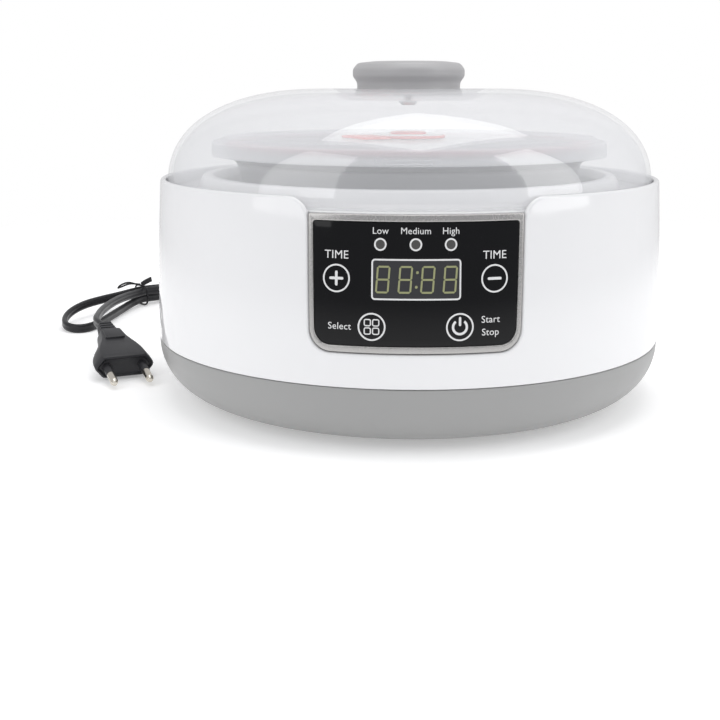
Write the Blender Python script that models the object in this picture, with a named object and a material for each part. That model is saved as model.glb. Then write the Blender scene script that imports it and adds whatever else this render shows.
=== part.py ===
"""Countertop yogurt maker with a domed lid, a steel pot, five glass jars and a mains lead.

Metres, +Z up, front towards -Y. The origin is on the table, under the middle of the round body.
"""
import math

import bmesh
import bpy
from mathutils import Matrix, Vector

MM = 0.001
GAP = 0.3 * MM                     # clearance between pieces that touch
SIDES = 40                         # facets round the large turned pieces, which nest in each other

# Body heights and radii
BODY_R = 120.0 * MM                # widest radius, at the seam
FOOT_H = 2.5 * MM                  # rubber feet under the base
BASE_FLAT_R = 94.5 * MM            # flat part of the underside
BASE_WALL = 2.5 * MM
SEAM_Z = 29.7 * MM                 # joint between grey base and white shell
SHELL_WALL = 2.6 * MM
SHELL_SHOULDER_Z = 99.0 * MM       # where the shell rim starts to round over
SHELL_DRAFT = 2.9 * MM             # radius lost between the seam and the shoulder
DECK_Z = 98.0 * MM                 # ledge that the dome stands on
DECK_R = 113.9 * MM
CHAMBER_RIM_Z = 104.9 * MM
CHAMBER_FLOOR_Z = 35.0 * MM
CHAMBER_OPENING_R = 66.0 * MM      # hole in the chamber floor, under the warming plate
PLATE_R = 73.7 * MM
SCREW_RING_R = 80.0 * MM
FOOT_RING_R = 80.0 * MM

# Dome cover and knob
DOME_R = 113.4 * MM
DOME_WALL = 2.0 * MM
DOME_SPRING_Z = 100.0 * MM         # where the skirt ends and the crown begins
DOME_CREST_Z = 143.6 * MM
DOME_CREST_R = 40.0 * MM
DOME_POWER = 2.3                   # fullness of the crown's curve
DIMPLE_Z = 140.3 * MM              # hollow that the knob stands in
KNOB_TOP_Z = 156.0 * MM

# Control panel, as angles round the body
PANEL_TOP_Z = 97.5 * MM
PANEL_BOTTOM_Z = 43.9 * MM
PANEL_HALF_TOP = math.radians(20.4)
PANEL_HALF_BOTTOM = math.radians(19.8)
PANEL_CORNER = 9.0 * MM
BEZEL_SIDE = math.radians(1.1)
BEZEL_EDGE = 3.2 * MM
LENS_THICK = 1.6 * MM
KEY_ANGLE_TOP = math.radians(14.8)
KEY_ANGLE_LOW = math.radians(8.25)
KEY_TOP_Z = 72.9 * MM
KEY_LOW_Z = 54.4 * MM
BOARD_Y = -101.0 * MM              # front face of the control board

# Pot, lid and jars
POT_BOTTOM_Z = 35.6 * MM
POT_R = 78.8 * MM
POT_RIM_R = 89.5 * MM
POT_RIM_Z = 116.3 * MM
POT_WALL = 1.0 * MM
LID_R = 93.0 * MM
LID_TOP_Z = 121.3 * MM
JAR_R = 25.0 * MM
JAR_H = 59.0 * MM
JAR_WALL = 2.2 * MM
JAR_RING_R = 47.0 * MM
JAR_COUNT = 5
TAB_ANGLE = math.radians(205.0)    # direction of the vent valve's pull tab
VALVE_R = 17.6 * MM
BUTTON_R = 8.6 * MM

# Mains lead: flat twin flex, drawn as a round tube
CORD_R = 2.3 * MM
RELIEF_ANGLE = math.radians(135.0)  # rear left, measured from +X
RELIEF_Z = 16.0 * MM
RELIEF_TIP = 141.6 * MM
TIE_AT = Vector((-173.5, 200.5, 0.0)) * MM
HANK_END_AT = Vector((-128.0, 248.0, 0.0)) * MM
HANK_END_R = 23.0 * MM
PLUG_FACE_AT = Vector((-144.5, 5.0, 6.9)) * MM
PLUG_AXIS = Vector((0.400, -0.896, -0.190)).normalized()
PLUG_LENGTH = 52.0 * MM
PIN_SPACING = 18.5 * MM


# ---------------------------------------------------------------- helpers

def clear_scene():
    for obj in list(bpy.data.objects):
        bpy.data.objects.remove(obj, do_unlink=True)


def material(name, colour, roughness, metallic=0.0, alpha=1.0):
    """A Principled material; a second call with the same name returns the first one."""
    found = bpy.data.materials.get(name)
    if found:
        return found
    made = bpy.data.materials.new(name)
    made.use_nodes = True
    shader = made.node_tree.nodes["Principled BSDF"]
    shader.inputs["Base Color"].default_value = (*colour, 1.0)
    shader.inputs["Roughness"].default_value = roughness
    shader.inputs["Metallic"].default_value = metallic
    shader.inputs["Alpha"].default_value = alpha
    return made


def publish(name, bm, finish, sharp_deg=35.0):
    """Turns a bmesh into a named object whose faces point outwards."""
    bmesh.ops.remove_doubles(bm, verts=bm.verts, dist=1e-6)
    bmesh.ops.recalc_face_normals(bm, faces=bm.faces)
    mesh = bpy.data.meshes.new(name)
    bm.to_mesh(mesh)
    bm.free()
    mesh.shade_smooth()
    mesh.set_sharp_from_angle(angle=math.radians(sharp_deg))
    mesh.materials.append(finish)
    obj = bpy.data.objects.new(name, mesh)
    bpy.context.scene.collection.objects.link(obj)
    return obj


def arc(centre, radius, start_deg, end_deg, steps):
    """Points of an arc in the (radius, height) plane, both ends included."""
    points = []
    for i in range(steps + 1):
        angle = math.radians(start_deg + (end_deg - start_deg) * i / steps)
        points.append((centre[0] + radius * math.cos(angle), centre[1] + radius * math.sin(angle)))
    return points


def turned_mesh(profile, segments):
    """Spins a profile about Z. A profile that starts and ends on the axis is left open."""
    bm = bmesh.new()
    verts = [bm.verts.new((r, 0.0, z)) for r, z in profile]
    edges = [bm.edges.new(pair) for pair in zip(verts, verts[1:])]
    on_axis = profile[0][0] == 0.0 and profile[-1][0] == 0.0
    if not on_axis:
        edges.append(bm.edges.new((verts[-1], verts[0])))
    bmesh.ops.spin(bm, geom=verts + edges, cent=(0, 0, 0), axis=(0, 0, 1),
                   angle=2 * math.pi, steps=segments, use_merge=True)
    bmesh.ops.remove_doubles(bm, verts=bm.verts, dist=1e-6)
    return bm


def turned(name, profile, finish, segments=48, sharp_deg=35.0):
    return publish(name, turned_mesh(profile, segments), finish, sharp_deg)


def scattered(profile, segments, places):
    """Copies of one turned shape at several places, in one bmesh."""
    bm = turned_mesh(profile, segments)
    first = list(bm.verts) + list(bm.edges) + list(bm.faces)
    for x, y in places[1:]:
        copy = bmesh.ops.duplicate(bm, geom=first)
        moved = [v for v in copy["geom"] if isinstance(v, bmesh.types.BMVert)]
        bmesh.ops.translate(bm, verts=moved, vec=(x, y, 0.0))
    originals = [v for v in first if isinstance(v, bmesh.types.BMVert)]
    bmesh.ops.translate(bm, verts=originals, vec=(*places[0], 0.0))
    return bm


def add_cylinder(bm, radius, low, high, segments=16):
    """Adds a closed cylinder between two points."""
    low, high = Vector(low), Vector(high)
    turn = (high - low).to_track_quat("Z", "Y").to_matrix().to_4x4()
    place = Matrix.Translation((low + high) / 2) @ turn
    bmesh.ops.create_cone(bm, cap_ends=True, segments=segments, radius1=radius, radius2=radius,
                          depth=(high - low).length, matrix=place)


def cylinder(name, radius, low, high, finish, segments=16):
    bm = bmesh.new()
    add_cylinder(bm, radius, low, high, segments)
    return publish(name, bm, finish)


def box(name, low, high, finish):
    low, high = Vector(low), Vector(high)
    bm = bmesh.new()
    size = Matrix.Diagonal((*(high - low), 1.0))
    bmesh.ops.create_cube(bm, size=1.0, matrix=Matrix.Translation((low + high) / 2) @ size)
    return publish(name, bm, finish)


def hide_tool(tool):
    tool.hide_render = True
    tool.display_type = "WIRE"
    return tool


def combine(obj, tool, operation):
    """Joins a hidden tool to an object, or cuts it away."""
    hide_tool(tool)
    modifier = obj.modifiers.new(operation.title(), "BOOLEAN")
    modifier.operation = operation
    modifier.solver = "EXACT"
    modifier.object = tool


def ring_points(radius, count, first_deg=0.0):
    angles = [math.radians(first_deg + 360.0 * i / count) for i in range(count)]
    return [(radius * math.cos(a), radius * math.sin(a)) for a in angles]


def smooth_route(points, spacing):
    """Reads evenly spaced points from a smooth curve through the given ones (in millimetres)."""
    knots = [Vector(p) * MM for p in points]
    ends = [2 * knots[0] - knots[1]] + knots + [2 * knots[-1] - knots[-2]]
    fine = []
    for a, b, c, d in zip(ends, ends[1:], ends[2:], ends[3:]):
        for i in range(16):
            t = i / 16
            fine.append(0.5 * (2 * b + (c - a) * t + (2 * a - 5 * b + 4 * c - d) * t ** 2
                               + (3 * b - a - 3 * c + d) * t ** 3))
    fine.append(knots[-1])
    lengths = [0.0]
    for a, b in zip(fine, fine[1:]):
        lengths.append(lengths[-1] + (b - a).length)
    count = max(2, round(lengths[-1] / spacing))
    route, at = [], 0
    for i in range(count + 1):
        want = lengths[-1] * i / count
        while at < len(fine) - 2 and lengths[at + 1] < want:
            at += 1
        part = (want - lengths[at]) / (lengths[at + 1] - lengths[at])
        route.append(fine[at].lerp(fine[at + 1], part))
    return route


def tube(name, route, radius, finish, cyclic=False):
    """A round tube along a route, as a bevelled curve with closed ends."""
    curve = bpy.data.curves.new(name, "CURVE")
    curve.dimensions = "3D"
    curve.bevel_depth = radius
    curve.bevel_resolution = 2
    curve.use_fill_caps = True
    spline = curve.splines.new("POLY")
    spline.points.add(len(route) - 1)
    for point, place in zip(spline.points, route):
        point.co = (*place, 1.0)
    spline.use_cyclic_u = cyclic
    curve.materials.append(finish)
    obj = bpy.data.objects.new(name, curve)
    bpy.context.scene.collection.objects.link(obj)
    return obj


# ---------------------------------------------------------------- shapes that several parts share

def shell_radius(z):
    """Outer radius of the white shell, drawn in slightly towards the rim."""
    rise = max(0.0, (z - 35.0 * MM) / (SHELL_SHOULDER_Z - 35.0 * MM))
    return BODY_R - SHELL_DRAFT * rise ** 1.6


def bent_slab(half_angle, z_low, z_high, corner, r_inner, r_outer, columns=12, rows=4):
    """A plate bent round the body's axis, with rounded lower corners.

    half_angle, r_inner and r_outer are functions of height.
    """
    reach = half_angle(z_low) * BODY_R
    share = corner / reach
    marks = [1.0 - share + share * math.sin(math.pi / 2 * i / 4) for i in range(5)]
    middle = [-1.0 + share + (2.0 - 2.0 * share) * i / columns for i in range(1, columns)]
    across = sorted([-m for m in marks] + middle + marks)
    bm = bmesh.new()
    sheets = []
    for radius in (r_inner, r_outer):
        sheet = []
        for u in across:
            into = max(0.0, (abs(u) - (1.0 - share)) / share)
            lift = corner * (1.0 - math.sqrt(max(0.0, 1.0 - into ** 2)))
            column = []
            for row in range(rows + 1):
                z = z_low + lift + (z_high - z_low - lift) * row / rows
                angle = u * half_angle(z)
                column.append(bm.verts.new((radius(z) * math.sin(angle), -radius(z) * math.cos(angle), z)))
            sheet.append(column)
        sheets.append(sheet)
    inner, outer = sheets
    last = len(across) - 1
    for i in range(last):
        for j in range(rows):
            for sheet in sheets:
                bm.faces.new((sheet[i][j], sheet[i + 1][j], sheet[i + 1][j + 1], sheet[i][j + 1]))
        for j in (0, rows):
            bm.faces.new((inner[i][j], inner[i + 1][j], outer[i + 1][j], outer[i][j]))
    for i in (0, last):
        for j in range(rows):
            bm.faces.new((inner[i][j], inner[i][j + 1], outer[i][j + 1], outer[i][j]))
    return bm


def panel_half(z):
    """Half of the panel's angle at a height: its sides close in a little towards the bottom."""
    part = (z - PANEL_BOTTOM_Z) / (PANEL_TOP_Z - PANEL_BOTTOM_Z)
    return PANEL_HALF_BOTTOM + (PANEL_HALF_TOP - PANEL_HALF_BOTTOM) * part


def opening_half(z):
    """Half angle of the opening in the shell, which flares into the rim with round corners."""
    angle = panel_half(min(z, PANEL_TOP_Z)) + GAP / BODY_R
    start, radius = 98.5 * MM, 5.0 * MM
    climb = min(1.0, max(0.0, (z - start) / radius))
    return angle + radius * (1.0 - math.sqrt(1.0 - climb ** 2)) / BODY_R


# ---------------------------------------------------------------- body

def build_base():
    grey = material("base_grey", (0.36, 0.37, 0.39), 0.45)
    round_r = BODY_R - BASE_FLAT_R
    centre = (BASE_FLAT_R, FOOT_H + round_r)
    outer = arc(centre, round_r, -90, 0, 6)
    inner = arc(centre, round_r - BASE_WALL, 0, -90, 4)
    top = SEAM_Z - GAP
    profile = ([(0.0, FOOT_H)] + outer + [(BODY_R, top), (BODY_R - BASE_WALL, top)]
               + inner + [(0.0, FOOT_H + BASE_WALL)])
    base = turned("base_shell", profile, grey, SIDES)

    posts = bmesh.new()
    for x, y in ((-30, 25), (30, 25), (-30, 67), (30, 67)):
        add_cylinder(posts, 3 * MM, (x * MM, y * MM, 4 * MM), (x * MM, y * MM, 9 * MM), 10)
    combine(base, publish("board_posts", posts, grey), "UNION")

    well, hole, step = 4.0 * MM, 1.8 * MM, 3.9 * MM
    stepped = [(0.0, 0.0), (well, 0.0), (well, step), (hole, step), (hole, 8 * MM), (0.0, 8 * MM)]
    wells = scattered(stepped, 12, ring_points(SCREW_RING_R, 4, 1.0))
    combine(base, publish("screw_wells", wells, grey), "DIFFERENCE")
    way = Vector((math.cos(RELIEF_ANGLE), math.sin(RELIEF_ANGLE), 0.0))
    lift = Vector((0.0, 0.0, RELIEF_Z))
    bore = bmesh.new()
    add_cylinder(bore, 4.4 * MM, way * 95 * MM + lift, way * 130 * MM + lift, 16)
    combine(base, publish("cord_bore", bore, grey), "DIFFERENCE")

    steel = material("screw_steel", (0.62, 0.62, 0.63), 0.3, metallic=1.0)
    for i, (x, y) in enumerate(ring_points(SCREW_RING_R, 4, 1.0), start=1):
        head, shank, tip = 3.3 * MM, 1.2 * MM, 16 * MM
        profile = [(0.0, 2.7 * MM), (head, 2.7 * MM), (head, 3.6 * MM), (shank, 3.6 * MM),
                   (shank, tip), (0.0, tip)]
        screw = turned(f"base_screw_{i}", profile, steel, segments=12)
        screw.location = (x, y, 0.0)
    rubber = material("foot_rubber", (0.05, 0.05, 0.055), 0.8)
    for i, (x, y) in enumerate(ring_points(FOOT_RING_R, 4, 45.0), start=1):
        top = FOOT_H - GAP
        profile = [(0.0, 0.0), (6.6 * MM, 0.0), (7.5 * MM, top), (0.0, top)]
        foot = turned(f"rubber_foot_{i}", profile, rubber, segments=16)
        foot.location = (x, y, 0.0)


def build_outer_shell():
    white = material("shell_white", (0.86, 0.86, 0.87), 0.18)
    heights = [SEAM_Z + (SHELL_SHOULDER_Z - SEAM_Z) * i / 5 for i in range(6)]
    outer = [(shell_radius(z), z) for z in heights]
    rim = [(116.8 * MM, 101.9 * MM), (115.7 * MM, 103.5 * MM), (114.3 * MM, 102.2 * MM)]
    ledge = [(114.3 * MM, 95.2 * MM), (111.9 * MM, 95.2 * MM), (111.9 * MM, 93.6 * MM),
             (115.0 * MM, 91.5 * MM)]
    inner = [(shell_radius(z) - SHELL_WALL, z) for z in reversed(heights[1:4])]
    lip = [(114.7 * MM, SEAM_Z), (114.7 * MM, 26 * MM), (117.0 * MM, 26 * MM), (117.0 * MM, SEAM_Z)]
    shell = turned("outer_shell", outer + rim + ledge + inner + lip, white, SIDES)
    slab = bent_slab(opening_half, PANEL_BOTTOM_Z - GAP, 108 * MM, PANEL_CORNER,
                     lambda z: 106 * MM, lambda z: 126 * MM, columns=10, rows=13)
    combine(shell, publish("panel_opening", slab, white), "DIFFERENCE")


def build_chamber():
    white = material("chamber_white", (0.83, 0.83, 0.84), 0.3)
    cup = [(CHAMBER_OPENING_R, 33.6 * MM), (PLATE_R + GAP, 33.6 * MM),
           (PLATE_R + GAP, CHAMBER_FLOOR_Z), (80 * MM, CHAMBER_FLOOR_Z)]
    cup += [(84.3 * MM, 40 * MM), (89.5 * MM, 100 * MM)]
    rim = [(92.4 * MM, CHAMBER_RIM_Z), (96.5 * MM, 104.6 * MM), (98.5 * MM, 102.6 * MM)]
    deck = [(100.2 * MM, DECK_Z), (DECK_R, DECK_Z), (DECK_R, 95.5 * MM), (97.2 * MM, 95.5 * MM)]
    back = [(96.3 * MM, 102.2 * MM), (93.2 * MM, 102.4 * MM), (91.4 * MM, 99.6 * MM),
            (86.3 * MM, 38 * MM), (83.0 * MM, 31.8 * MM), (CHAMBER_OPENING_R, 31.8 * MM)]
    chamber = turned("inner_chamber", cup + rim + deck + back, white, SIDES)
    bosses = bmesh.new()
    for x, y in ring_points(SCREW_RING_R, 4, 1.0):
        add_cylinder(bosses, 3.6 * MM, (x, y, 5.3 * MM), (x, y, 33.2 * MM), 12)
    combine(chamber, publish("screw_bosses", bosses, white), "UNION")
    pilots = bmesh.new()
    for x, y in ring_points(SCREW_RING_R, 4, 1.0):
        add_cylinder(pilots, 1.5 * MM, (x, y, 4 * MM), (x, y, 18 * MM), 10)
    combine(chamber, publish("screw_pilots", pilots, white), "DIFFERENCE")


def build_heater():
    alloy = material("plate_aluminium", (0.72, 0.73, 0.74), 0.35, metallic=1.0)
    low, high = 33.9 * MM, 35.3 * MM
    turned("warming_plate", [(0.0, low), (PLATE_R, low), (PLATE_R, high), (0.0, high)], alloy, SIDES)
    beige = material("heater_ceramic", (0.75, 0.68, 0.55), 0.6)
    cylinder("ptc_heater", 19 * MM, (0, 0, 28 * MM), (0, 0, 33.6 * MM), beige, 24)
    dark = material("part_black", (0.04, 0.04, 0.045), 0.5)
    cylinder("temperature_sensor", 4 * MM, (0, -34 * MM, 26 * MM), (0, -34 * MM, 33.6 * MM), alloy, 12)
    cylinder("thermal_fuse", 2 * MM, (28 * MM, 6 * MM, 31.4 * MM), (38 * MM, 6 * MM, 31.4 * MM), beige, 10)
    green = material("board_green", (0.05, 0.22, 0.10), 0.5)
    box("power_board", (-36 * MM, 21 * MM, 9.3 * MM), (36 * MM, 71 * MM, 10.9 * MM), green)
    yellow = material("transformer_tape", (0.80, 0.66, 0.16), 0.5)
    box("transformer", (-30 * MM, 38 * MM, 11.2 * MM), (-4 * MM, 62 * MM, 26.5 * MM), yellow)
    box("heater_relay", (6 * MM, 44 * MM, 11.2 * MM), (25 * MM, 60 * MM, 26 * MM), dark)
    cylinder("filter_capacitor", 6 * MM, (14 * MM, 32 * MM, 11.2 * MM), (14 * MM, 32 * MM, 25 * MM), dark)
    blue = material("terminal_blue", (0.06, 0.22, 0.55), 0.45)
    box("mains_terminal", (-33 * MM, 24 * MM, 11.2 * MM), (-18 * MM, 33 * MM, 21 * MM), blue)


# ---------------------------------------------------------------- control panel

def build_panel():
    silver = material("bezel_silver", (0.60, 0.60, 0.61), 0.35, metallic=0.7)
    lens_black = material("lens_black", (0.015, 0.015, 0.017), 0.06)

    def lens_half(z):
        return panel_half(z) - BEZEL_SIDE

    low, high = PANEL_BOTTOM_Z + BEZEL_EDGE, PANEL_TOP_Z - BEZEL_EDGE
    frame = bent_slab(panel_half, PANEL_BOTTOM_Z, PANEL_TOP_Z, PANEL_CORNER,
                      lambda z: shell_radius(z) - 3.3 * MM, lambda z: shell_radius(z))
    bezel = publish("panel_bezel", frame, silver)
    pocket = bent_slab(lens_half, low, high, 6.5 * MM,
                       lambda z: shell_radius(z) - 2.3 * MM, lambda z: 126 * MM)
    combine(bezel, publish("lens_pocket", pocket, silver), "DIFFERENCE")
    window = bent_slab(lambda z: lens_half(z) - math.radians(1.2), low + 2.5 * MM, high - 2.5 * MM,
                       5.0 * MM, lambda z: 100 * MM, lambda z: 126 * MM)
    combine(bezel, publish("bezel_window", window, silver), "DIFFERENCE")
    lens = bent_slab(lambda z: lens_half(z) - GAP / BODY_R, low + GAP, high - GAP, 6.3 * MM,
                     lambda z: shell_radius(z) - 0.4 * MM - LENS_THICK,
                     lambda z: shell_radius(z) - 0.4 * MM)
    publish("panel_lens", lens, lens_black)

    green = material("board_green", (0.05, 0.22, 0.10), 0.5)
    back = BOARD_Y + 1.6 * MM
    box("control_board", (-36 * MM, BOARD_Y, 46 * MM), (36 * MM, back, 94 * MM), green)
    grey = material("display_grey", (0.16, 0.16, 0.17), 0.4)
    box("display_module", (-15.1 * MM, -113.5 * MM, 65.9 * MM), (15.1 * MM, BOARD_Y - GAP, 79.9 * MM), grey)
    clear = material("led_clear", (0.85, 0.84, 0.78), 0.2)
    for i, x in enumerate((-13.4, 0.0, 13.4), start=1):
        low, high = (x * MM, BOARD_Y - GAP, 86.3 * MM), (x * MM, -112.5 * MM, 86.3 * MM)
        cylinder(f"indicator_led_{i}", 1.5 * MM, low, high, clear, 10)
    foam = material("key_foam", (0.10, 0.10, 0.10), 0.9)
    keys = (("plus", -KEY_ANGLE_TOP, KEY_TOP_Z), ("minus", KEY_ANGLE_TOP, KEY_TOP_Z),
            ("mode", -KEY_ANGLE_LOW, KEY_LOW_Z), ("power", KEY_ANGLE_LOW, KEY_LOW_Z))
    for key, angle, z in keys:
        x = 116.0 * MM * math.sin(angle)
        front = -math.sqrt((116.0 * MM) ** 2 - (abs(x) + 4 * MM) ** 2)
        cylinder(f"key_foam_{key}", 3.8 * MM, (x, BOARD_Y - GAP, z), (x, front, z), foam, 12)


# ---------------------------------------------------------------- dome cover

def crown(inset):
    """Crown of the dome from the skirt up to the crest, a fuller curve than an ellipse."""
    wide = DOME_R - DOME_CREST_R - inset
    tall = DOME_CREST_Z - DOME_SPRING_Z - inset
    points = []
    for i in range(8):
        t = math.pi / 2 * i / 7
        r = DOME_CREST_R + wide * max(0.0, math.cos(t)) ** (2 / DOME_POWER)
        points.append((r, DOME_SPRING_Z + tall * math.sin(t) ** (2 / DOME_POWER)))
    return points


def build_dome():
    milky = material("dome_clear", (0.95, 0.96, 0.98), 0.08, alpha=0.45)
    foot = DECK_Z + GAP
    outside = [(DOME_R, foot)] + crown(0.0)
    dimple = [(34.5 * MM, 143.3 * MM), (31.6 * MM, 141.4 * MM), (29.0 * MM, DIMPLE_Z), (2.2 * MM, DIMPLE_Z)]
    under = [(2.2 * MM, DIMPLE_Z - DOME_WALL), (29.6 * MM, DIMPLE_Z - DOME_WALL),
             (33.4 * MM, 140.2 * MM), (35.6 * MM, 141.3 * MM)]
    inside = list(reversed(crown(DOME_WALL))) + [(DOME_R - DOME_WALL, foot)]
    turned("dome_cover", outside + dimple + under + inside, milky, SIDES)

    grey = material("knob_grey", (0.33, 0.33, 0.35), 0.4)
    low = DIMPLE_Z + GAP
    skin = [(26.0 * MM, low), (24.4 * MM, 142.9 * MM), (24.2 * MM, 146.0 * MM), (26.1 * MM, 149.4 * MM),
            (26.2 * MM, 152.6 * MM), (23.0 * MM, 155.2 * MM), (0.0, KNOB_TOP_Z)]
    hollow = [(0.0, 151.0 * MM), (1.9 * MM, 151.0 * MM), (1.9 * MM, low), (5.0 * MM, low),
              (5.0 * MM, 153.0 * MM), (21.8 * MM, 152.6 * MM), (22.2 * MM, low)]
    turned("dome_knob", list(reversed(skin)) + list(reversed(hollow)), grey, segments=24)
    steel = material("screw_steel", (0.62, 0.62, 0.63), 0.3, metallic=1.0)
    under_z = DIMPLE_Z - DOME_WALL - GAP
    profile = [(0.0, under_z - 2.0 * MM), (3.0 * MM, under_z - 2.0 * MM), (4.5 * MM, under_z - 0.6 * MM),
               (4.5 * MM, under_z), (1.5 * MM, under_z), (1.5 * MM, 149.5 * MM), (0.0, 149.5 * MM)]
    turned("knob_screw", profile, steel, segments=16)


# ---------------------------------------------------------------- pot, lid and jars

def build_pot():
    steel = material("pot_steel", (0.66, 0.66, 0.67), 0.2, metallic=1.0)
    curve_r = 16 * MM
    foot_r = POT_R - curve_r - 1.5 * MM
    outer = arc((foot_r, POT_BOTTOM_Z + curve_r), curve_r, -90, -6, 4)
    outer += [(POT_R + 0.4 * MM, 103 * MM), (81.6 * MM, 110.4 * MM), (87.2 * MM, 113.8 * MM)]
    roll = [(POT_RIM_R, 115.0 * MM), (88.4 * MM, POT_RIM_Z), (86.4 * MM, 115.2 * MM)]
    inner = [(80.7 * MM, 111.0 * MM), (POT_R - 0.6 * MM, 103.2 * MM)]
    inner += arc((foot_r, POT_BOTTOM_Z + curve_r), curve_r - POT_WALL, -6, -90, 4)
    floor = POT_BOTTOM_Z + POT_WALL
    profile = [(0.0, POT_BOTTOM_Z)] + outer + roll + inner + [(0.0, floor)]
    turned("inner_pot", profile, steel, SIDES)


def build_pot_lid():
    clear = material("lid_clear", (0.93, 0.94, 0.95), 0.25, alpha=0.5)
    under = LID_TOP_Z - 2.0 * MM
    profile = [(3.6 * MM, under), (3.6 * MM, LID_TOP_Z - 0.6 * MM), (74 * MM, LID_TOP_Z - 0.6 * MM),
               (77 * MM, LID_TOP_Z + 0.4 * MM), (88 * MM, LID_TOP_Z + 0.4 * MM),
               (91.6 * MM, LID_TOP_Z - 0.6 * MM), (LID_R, LID_TOP_Z - 2.6 * MM), (LID_R, 113.6 * MM),
               (91.3 * MM, 113.6 * MM), (91.0 * MM, POT_RIM_Z + GAP), (87.4 * MM, POT_RIM_Z + GAP),
               (86.6 * MM, 119.9 * MM), (80.6 * MM, 119.9 * MM), (80.0 * MM, 118.2 * MM), (76 * MM, under)]
    turned("pot_lid", profile, clear, SIDES)
    pink = material("gasket_pink", (0.95, 0.42, 0.47), 0.5)
    ring = [(80.9 * MM, 119.6 * MM), (81.2 * MM, 116.4 * MM), (83.4 * MM, 115.8 * MM),
            (86.0 * MM, 117.4 * MM), (86.2 * MM, 119.6 * MM)]
    turned("lid_gasket", list(reversed(ring)), pink, SIDES)
    red = material("valve_red", (0.85, 0.10, 0.07), 0.4)
    seat = LID_TOP_Z - 0.6 * MM + GAP
    skirt = seat + 0.8 * MM
    valve = [(0.0, 118.0 * MM), (3.2 * MM, 118.0 * MM), (3.2 * MM, seat), (VALVE_R, seat), (VALVE_R, skirt),
             (BUTTON_R, skirt), (BUTTON_R, skirt + 1.6 * MM), (BUTTON_R - 1.2 * MM, skirt + 2.2 * MM),
             (0.0, skirt + 2.2 * MM)]
    turned("vent_valve", valve, red, segments=24)
    tab = bmesh.new()
    size = Matrix.Diagonal((16 * MM, 25 * MM, 0.7 * MM, 1.0))
    place = Matrix.Rotation(TAB_ANGLE, 4, "Z") @ Matrix.Translation((20 * MM, 0.0, seat + 0.4 * MM))
    bmesh.ops.create_cube(tab, size=1.0, matrix=place @ size)
    combine(bpy.data.objects["vent_valve"], publish("valve_tab", tab, red), "UNION")
    white = material("ring_white", (0.88, 0.88, 0.88), 0.35)
    low = skirt + GAP
    ring = [(BUTTON_R + GAP, low), (VALVE_R - 1.1 * MM, low), (VALVE_R - 1.7 * MM, low + 0.8 * MM),
            (BUTTON_R + GAP, low + 0.8 * MM)]
    turned("valve_ring", ring, white, segments=24)


def build_jars():
    glass = material("jar_glass", (0.90, 0.97, 0.97), 0.03, alpha=0.3)
    low = POT_BOTTOM_Z + POT_WALL + GAP
    outer = [(0.0, 0.0), (14.0, 0.0), (18.6, 1.6), (22.2, 6.0), (25.0, 24.0), (22.4, 46.0), (21.0, 51.0),
             (22.6, 54.5), (22.2, 59.0)]
    inner = [(19.4, 59.0), (18.8, 50.0), (22.8, 24.0), (19.8, 6.0), (0.0, 3.6)]
    profile = [(r * MM, low + z * MM) for r, z in outer + inner]
    for i, (x, y) in enumerate(ring_points(JAR_RING_R, JAR_COUNT, 90.0), start=1):
        jar = turned(f"glass_jar_{i}", profile, glass, segments=14)
        jar.location = (x, y, 0.0)


# ---------------------------------------------------------------- mains lead

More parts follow.
